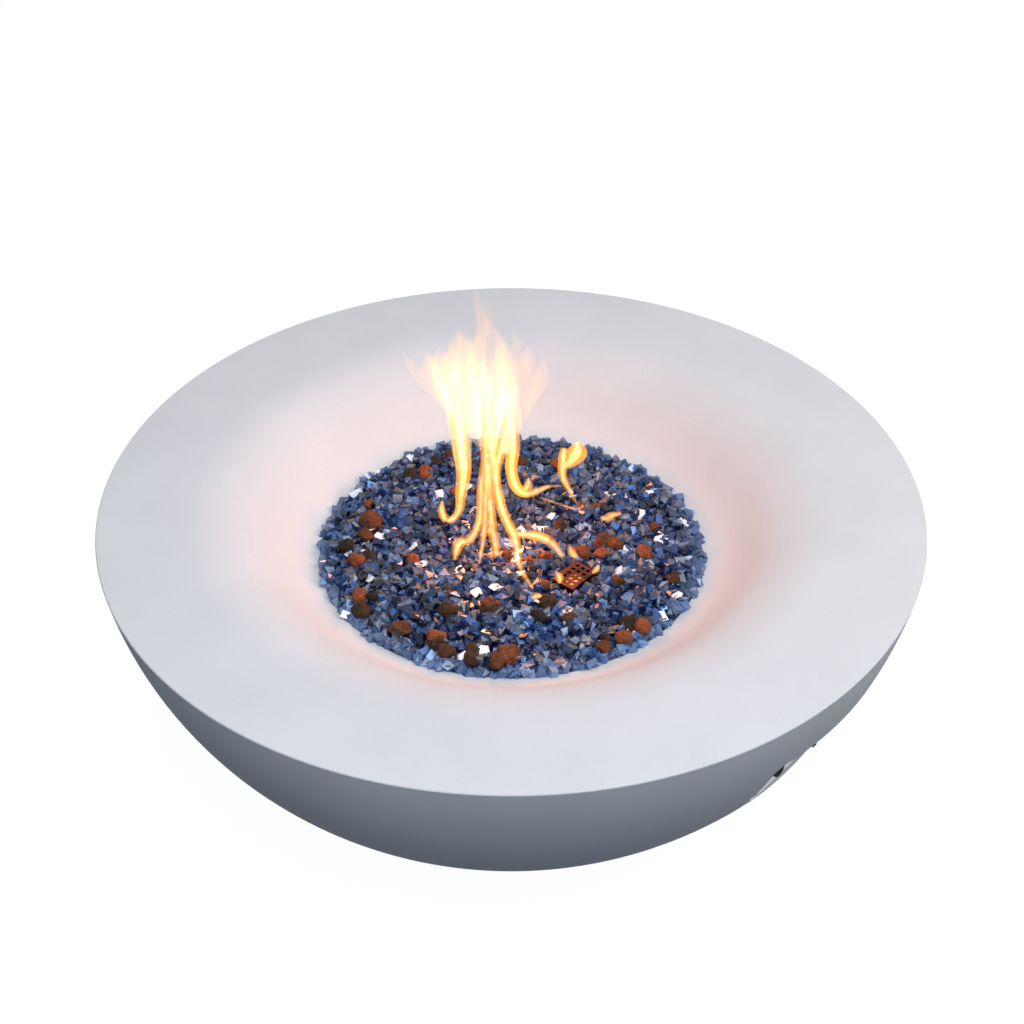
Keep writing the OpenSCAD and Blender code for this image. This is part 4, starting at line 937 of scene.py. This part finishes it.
def glowing_gas(name, colour, glow, haze, left, gone_mm):
    gas, tree, output = bare_finish(name)
    inside = own_place(tree)
    up = axes(tree, inside)["Z"]
    drawn_out = vector_maths(tree, "MULTIPLY", inside, (1, 1, STREAK_SQUEEZE)).outputs[0]
    streaky = ranged(tree, noise(tree, drawn_out, PER_METRE / STREAK_MM, 1.0), (0.35, 0.65), (0.5, 1.5))
    thinning = ranged(tree, up, (FADE_FROM_MM * MM, gone_mm * MM), (1.0, left))
    amount = maths(tree, "MULTIPLY", streaky, thinning)
    cooling = ranged(tree, up, (COOL_FROM_MM * MM, COOL_TO_MM * MM), UNIT)
    shine = add(tree, "ShaderNodeEmission", {},
                {"Color": mixed(tree, cooling, linear(colour), linear(COOL_GAS)),
                 "Strength": maths(tree, "MULTIPLY", amount, glow)})
    soak = add(tree, "ShaderNodeVolumeAbsorption", {},
               {"Color": (0, 0, 0, 1), "Density": maths(tree, "MULTIPLY", amount, haze)})
    both = add(tree, "ShaderNodeAddShader", {}, {0: shine.outputs[0], 1: soak.outputs[0]})
    link(output, "Volume", both.outputs[0])
    return gas


def flame_part(name, tongues, swell, voxel_mm, colour, glow, haze, left=0.45, gone_mm=650.0):
    shape = bmesh.new()
    for knots in tongues:
        add_tongue(shape, knots, swell)
    holder = put("holder", closed(shape, bpy.data.meshes.new(name)))
    remesh = holder.modifiers.new("join", "REMESH")
    remesh.mode, remesh.voxel_size = "VOXEL", voxel_mm * MM
    ease = holder.modifiers.new("ease", "SMOOTH")
    ease.factor, ease.iterations = 0.5, 3
    joined = final_mesh(holder)
    paint(joined, glowing_gas(name + "_gas", colour, glow, haze, left, gone_mm))
    part = put(name, joined)
    part.visible_diffuse = False
    part.visible_shadow = False
    print(name, len(joined.polygons), "faces")


# %% Flame
# Each knot is x, y, z and half width, in millimetres.
THREADS = [
    [(-35, 90, 325, 2), (-35, 90, 305, 5), (-30, 85, 292, 5), (-25, 70, 310, 5), (-30, 60, 350, 7),
     (-30, 55, 390, 9), (-35, 55, 430, 10), (-35, 60, 480, 9), (-40, 60, 530, 5)],
    [(-85, 25, 290, 3), (-70, 30, 305, 7), (-55, 25, 305, 5), (-35, 25, 325, 5), (-25, 30, 370, 5),
     (-15, 30, 410, 6), (-15, 30, 450, 7)],
    [(-70, -5, 290, 2), (-55, 0, 330, 4), (-40, 10, 360, 4), (-25, 20, 395, 5), (-10, 30, 415, 6)],
    [(-45, -15, 290, 4), (-40, -5, 310, 6), (-30, 10, 345, 6), (-20, 20, 385, 6), (-10, 25, 420, 7),
     (-10, 30, 470, 9), (-15, 30, 520, 4)],
    [(-65, -90, 290, 2), (-55, -60, 305, 4), (-40, -40, 330, 6), (-35, -15, 360, 6), (-25, 5, 390, 6),
     (-5, 25, 415, 7), (-5, 20, 450, 7)],
    [(10, -80, 290, 3), (5, -60, 310, 6), (0, -35, 310, 7), (-10, -10, 310, 5), (-10, 10, 350, 5),
     (-5, 20, 390, 5), (0, 15, 430, 7), (5, 10, 470, 6)],
    [(115, 5, 305, 1), (100, 20, 305, 3), (85, 40, 292, 6), (55, 35, 320, 7), (30, 25, 370, 7),
     (10, 5, 430, 8), (5, 5, 465, 9), (5, 10, 500, 4)],
    [(85, 50, 292, 5), (90, 45, 302, 5), (90, 45, 314, 2)],
    [(110, -25, 290, 1), (100, -20, 315, 3), (95, -10, 340, 5), (95, -10, 365, 6), (96, -11, 385, 5)],
    [(98, -12, 352, 3), (102, -18, 366, 10), (107, -24, 380, 12), (107, -24, 396, 3)],
    [(70, 10, 310, 1), (85, -10, 300, 2), (100, -30, 292, 2), (110, -35, 295, 2)],
    [(105, -70, 296, 3), (105, -75, 294, 5), (115, -80, 297, 5), (120, -90, 302, 3)],
    [(20, -95, 290, 2), (15, -90, 300, 5), (15, -85, 312, 1)],
    [(-35, -110, 290, 2), (-35, -110, 300, 5), (-40, -105, 312, 1)],
    [(10, -128, 288, 2), (14, -132, 294, 4), (14, -135, 304, 1)],
    [(-85, -105, 294, 3), (-80, -110, 298, 5), (-75, -112, 294, 2)],
]
BODIES = [
    [(-10, 25, 420, 6), (-10, 30, 485, 13), (-15, 30, 530, 13), (-15, 35, 570, 9), (-15, 35, 610, 5),
     (-20, 35, 635, 3), (-20, 40, 660, 1)],
    [(-30, 55, 390, 8), (-35, 55, 455, 12), (-35, 60, 505, 15), (-40, 60, 540, 15), (-35, 55, 575, 10),
     (-35, 55, 610, 1)],
    [(-20, 35, 430, 5), (-20, 40, 495, 12), (-25, 45, 540, 13), (-25, 45, 570, 8), (-25, 45, 600, 1)],
    [(0, 10, 420, 7), (5, 5, 465, 12), (5, 10, 495, 13), (10, 5, 515, 8), (10, 0, 530, 1)],
    [(-40, 60, 475, 7), (-50, 70, 520, 10), (-55, 80, 550, 8), (-60, 85, 575, 1)],
    [(-5, 20, 450, 8), (0, 15, 510, 12), (0, 15, 550, 9), (0, 15, 590, 1)],
]
VEILS = [
    [(-35, 55, 455, 5), (-40, 60, 500, 15), (-45, 65, 535, 18), (-50, 70, 560, 13), (-50, 75, 580, 2)],
    [(-5, 20, 465, 10), (0, 15, 510, 18), (0, 15, 555, 15), (-5, 20, 590, 9), (-15, 30, 625, 4),
     (-15, 35, 650, 1)],
    [(-20, 40, 455, 13), (-25, 45, 515, 24), (-30, 50, 555, 19), (-30, 50, 585, 9), (-35, 55, 605, 1)],
]
WISPS = [
    [(-40, 65, 470, 3), (-50, 75, 505, 7), (-65, 90, 535, 8), (-75, 105, 560, 4), (-80, 110, 575, 1)],
    [(15, -5, 465, 3), (20, -10, 500, 10), (30, -20, 530, 10), (30, -25, 555, 5), (30, -25, 570, 1)],
    [(5, 5, 505, 9), (15, 0, 540, 13), (20, -10, 565, 9), (20, -10, 585, 1)],
    [(-20, 35, 575, 7), (-15, 35, 610, 6), (-20, 35, 635, 5), (-20, 40, 660, 3), (-25, 40, 670, 1)],
    [(-10, 25, 600, 7), (-10, 30, 625, 6), (-15, 30, 650, 3), (-10, 30, 660, 1)],
    [(-55, 80, 525, 8), (-60, 85, 555, 6), (-60, 85, 575, 1)],
    [(-45, 65, 555, 8), (-35, 60, 585, 6), (-35, 55, 605, 1)],
    [(10, 5, 555, 8), (10, 0, 585, 6), (10, 5, 605, 1)],
]
PILOT = [[(-6, -112, 245, 6), (-6, -112, 265, 13), (-6, -112, 284, 12)]]
flame_part("flame_thread_sheath", THREADS, 1.2, 0.9, "FFA238", 140.0, 70.0)
flame_part("flame_thread_core", THREADS, 0.55, 0.7, "FFE9AC", 190.0, 20.0)
flame_part("flame_body", BODIES, 1.3, 1.6, "FFE6AC", 34.0, 20.0, 0.35)
flame_part("flame_body_core", BODIES, 0.6, 1.2, "FFF9E6", 75.0, 20.0, 0.05, 575.0)
flame_part("flame_veil", VEILS, 1.15, 2.0, "FFE2A8", 26.0, 11.0)
flame_part("flame_wisps", WISPS, 1.25, 1.4, "FFC88C", 22.0, 11.0)
flame_part("pilot_flame", PILOT, 1.0, 1.2, "FF9A40", 70.0, 5.0)

# %% [markdown]
# ## Stage and light
# The light is a bright overcast sky: strongest from above, weaker and blue at the horizon, brighter
# on the right, with three large soft lamps: overhead, high in front and high on the right.
# The flame adds two small warm lamps. The floor is dark to the light that it throws back, as paving
# would be, and almost white to the camera, to mirrors and to glass. It still takes the bowl's
# shadow, and under the bowl a painted shadow keeps the part closed in dark.

# %% Sky
WHITE = (1, 1, 1, 1)
SKY_LEFT, SKY_RIGHT = 0.45, 1.55
world = bpy.data.worlds.new("overcast_sky")
scene.world = world
world.use_nodes = True
tree = world.node_tree
tree.nodes.clear()
sky_place = add(tree, "ShaderNodeTexCoord").outputs["Generated"]
sky_stops = [(0.0, "6A7C90"), (0.35, "8E9AA8"), (1.0, "C8CACE")]
sky_tone = ramp(tree, axes(tree, sky_place)["Z"], sky_stops)
to_right = vector_maths(tree, "DOT_PRODUCT", sky_place, camera_right).outputs["Value"]
sky_level = ranged(tree, to_right, (-1.0, 1.0), (SKY_LEFT, SKY_RIGHT))
sky = add(tree, "ShaderNodeBackground", {}, {"Color": sky_tone, "Strength": sky_level})
white = add(tree, "ShaderNodeBackground", {}, {"Color": WHITE, "Strength": 1.0})
backdrop = add(tree, "ShaderNodeMixShader", {}, {0: shown(tree), 1: sky.outputs[0], 2: white.outputs[0]})
add(tree, "ShaderNodeOutputWorld", {}, {"Surface": backdrop.outputs[0]})

# %% Floor
FLOOR_SIZE = 30.0
FLOOR_WHITE = 0.97
PAINTED_SHADOW_UNDER_BOWL = (0.26, 0.30)
floor_mesh = bpy.data.meshes.new("floor")
floor_corners = [(x * FLOOR_SIZE, y * FLOOR_SIZE, 0) for x, y in ((-1, -1), (1, -1), (1, 1), (-1, 1))]
floor_mesh.from_pydata(floor_corners, [], [(0, 1, 2, 3)])
floor = put("floor", floor_mesh)
paper, tree, output = bare_finish("pale_studio_floor")
matt = add(tree, "ShaderNodeBsdfDiffuse", {}, {"Color": linear("424C56")})
# Painted shadow: within a circle under the bowl the floor's white fades out, so it stays dark.
from_middle = vector_maths(tree, "LENGTH", own_place(tree)).outputs["Value"]
white_past_painted_shadow = ranged(tree, from_middle, PAINTED_SHADOW_UNDER_BOWL, (0.0, FLOOR_WHITE))
bright = add(tree, "ShaderNodeEmission", {},
             {"Color": WHITE, "Strength": maths(tree, "MULTIPLY", shown(tree), white_past_painted_shadow)})
both = add(tree, "ShaderNodeAddShader", {}, {0: matt.outputs[0], 1: bright.outputs[0]})
link(output, "Surface", both.outputs[0])
floor_mesh.materials.append(paper)


# %% Lamps
def lamp(name, kind, spot, watts, colour, size, aim_at=None):
    data = bpy.data.lights.new(name, kind)
    data.energy = watts
    data.color = linear(colour)[:3]
    if kind == "AREA":
        data.shape, data.size = "DISK", size
    else:
        data.shadow_soft_size = size
    light = put(name, data)
    light.location = spot
    if aim_at is not None:
        light.rotation_mode = "QUATERNION"
        light.rotation_quaternion = (Vector(aim_at) - Vector(spot)).to_track_quat("-Z", "Y")


lamp("overhead_lamp", "AREA", (0.3, -0.2, 3.4), 13.0, "FFDAB4", 3.0, (0, 0, 0.3))
lamp("front_lamp", "AREA", (-1.5, -1.25, 2.95), 52.0, "E2F0FF", 2.0, (0, 0, 0.25))
lamp("right_lamp", "AREA", (1.4, -2.1, 2.1), 27.0, "FFF6EE", 1.8, (0, 0, 0.25))
lamp("flame_lamp", "POINT", (0.004, -0.042, 0.42), 0.66, "FFA070", 0.05)
lamp("flame_base_lamp", "POINT", (-0.02, 0.0, 0.34), 1.1, "FF8C46", 0.03)
scene.view_settings.view_transform = "Standard"
print("stage ready")
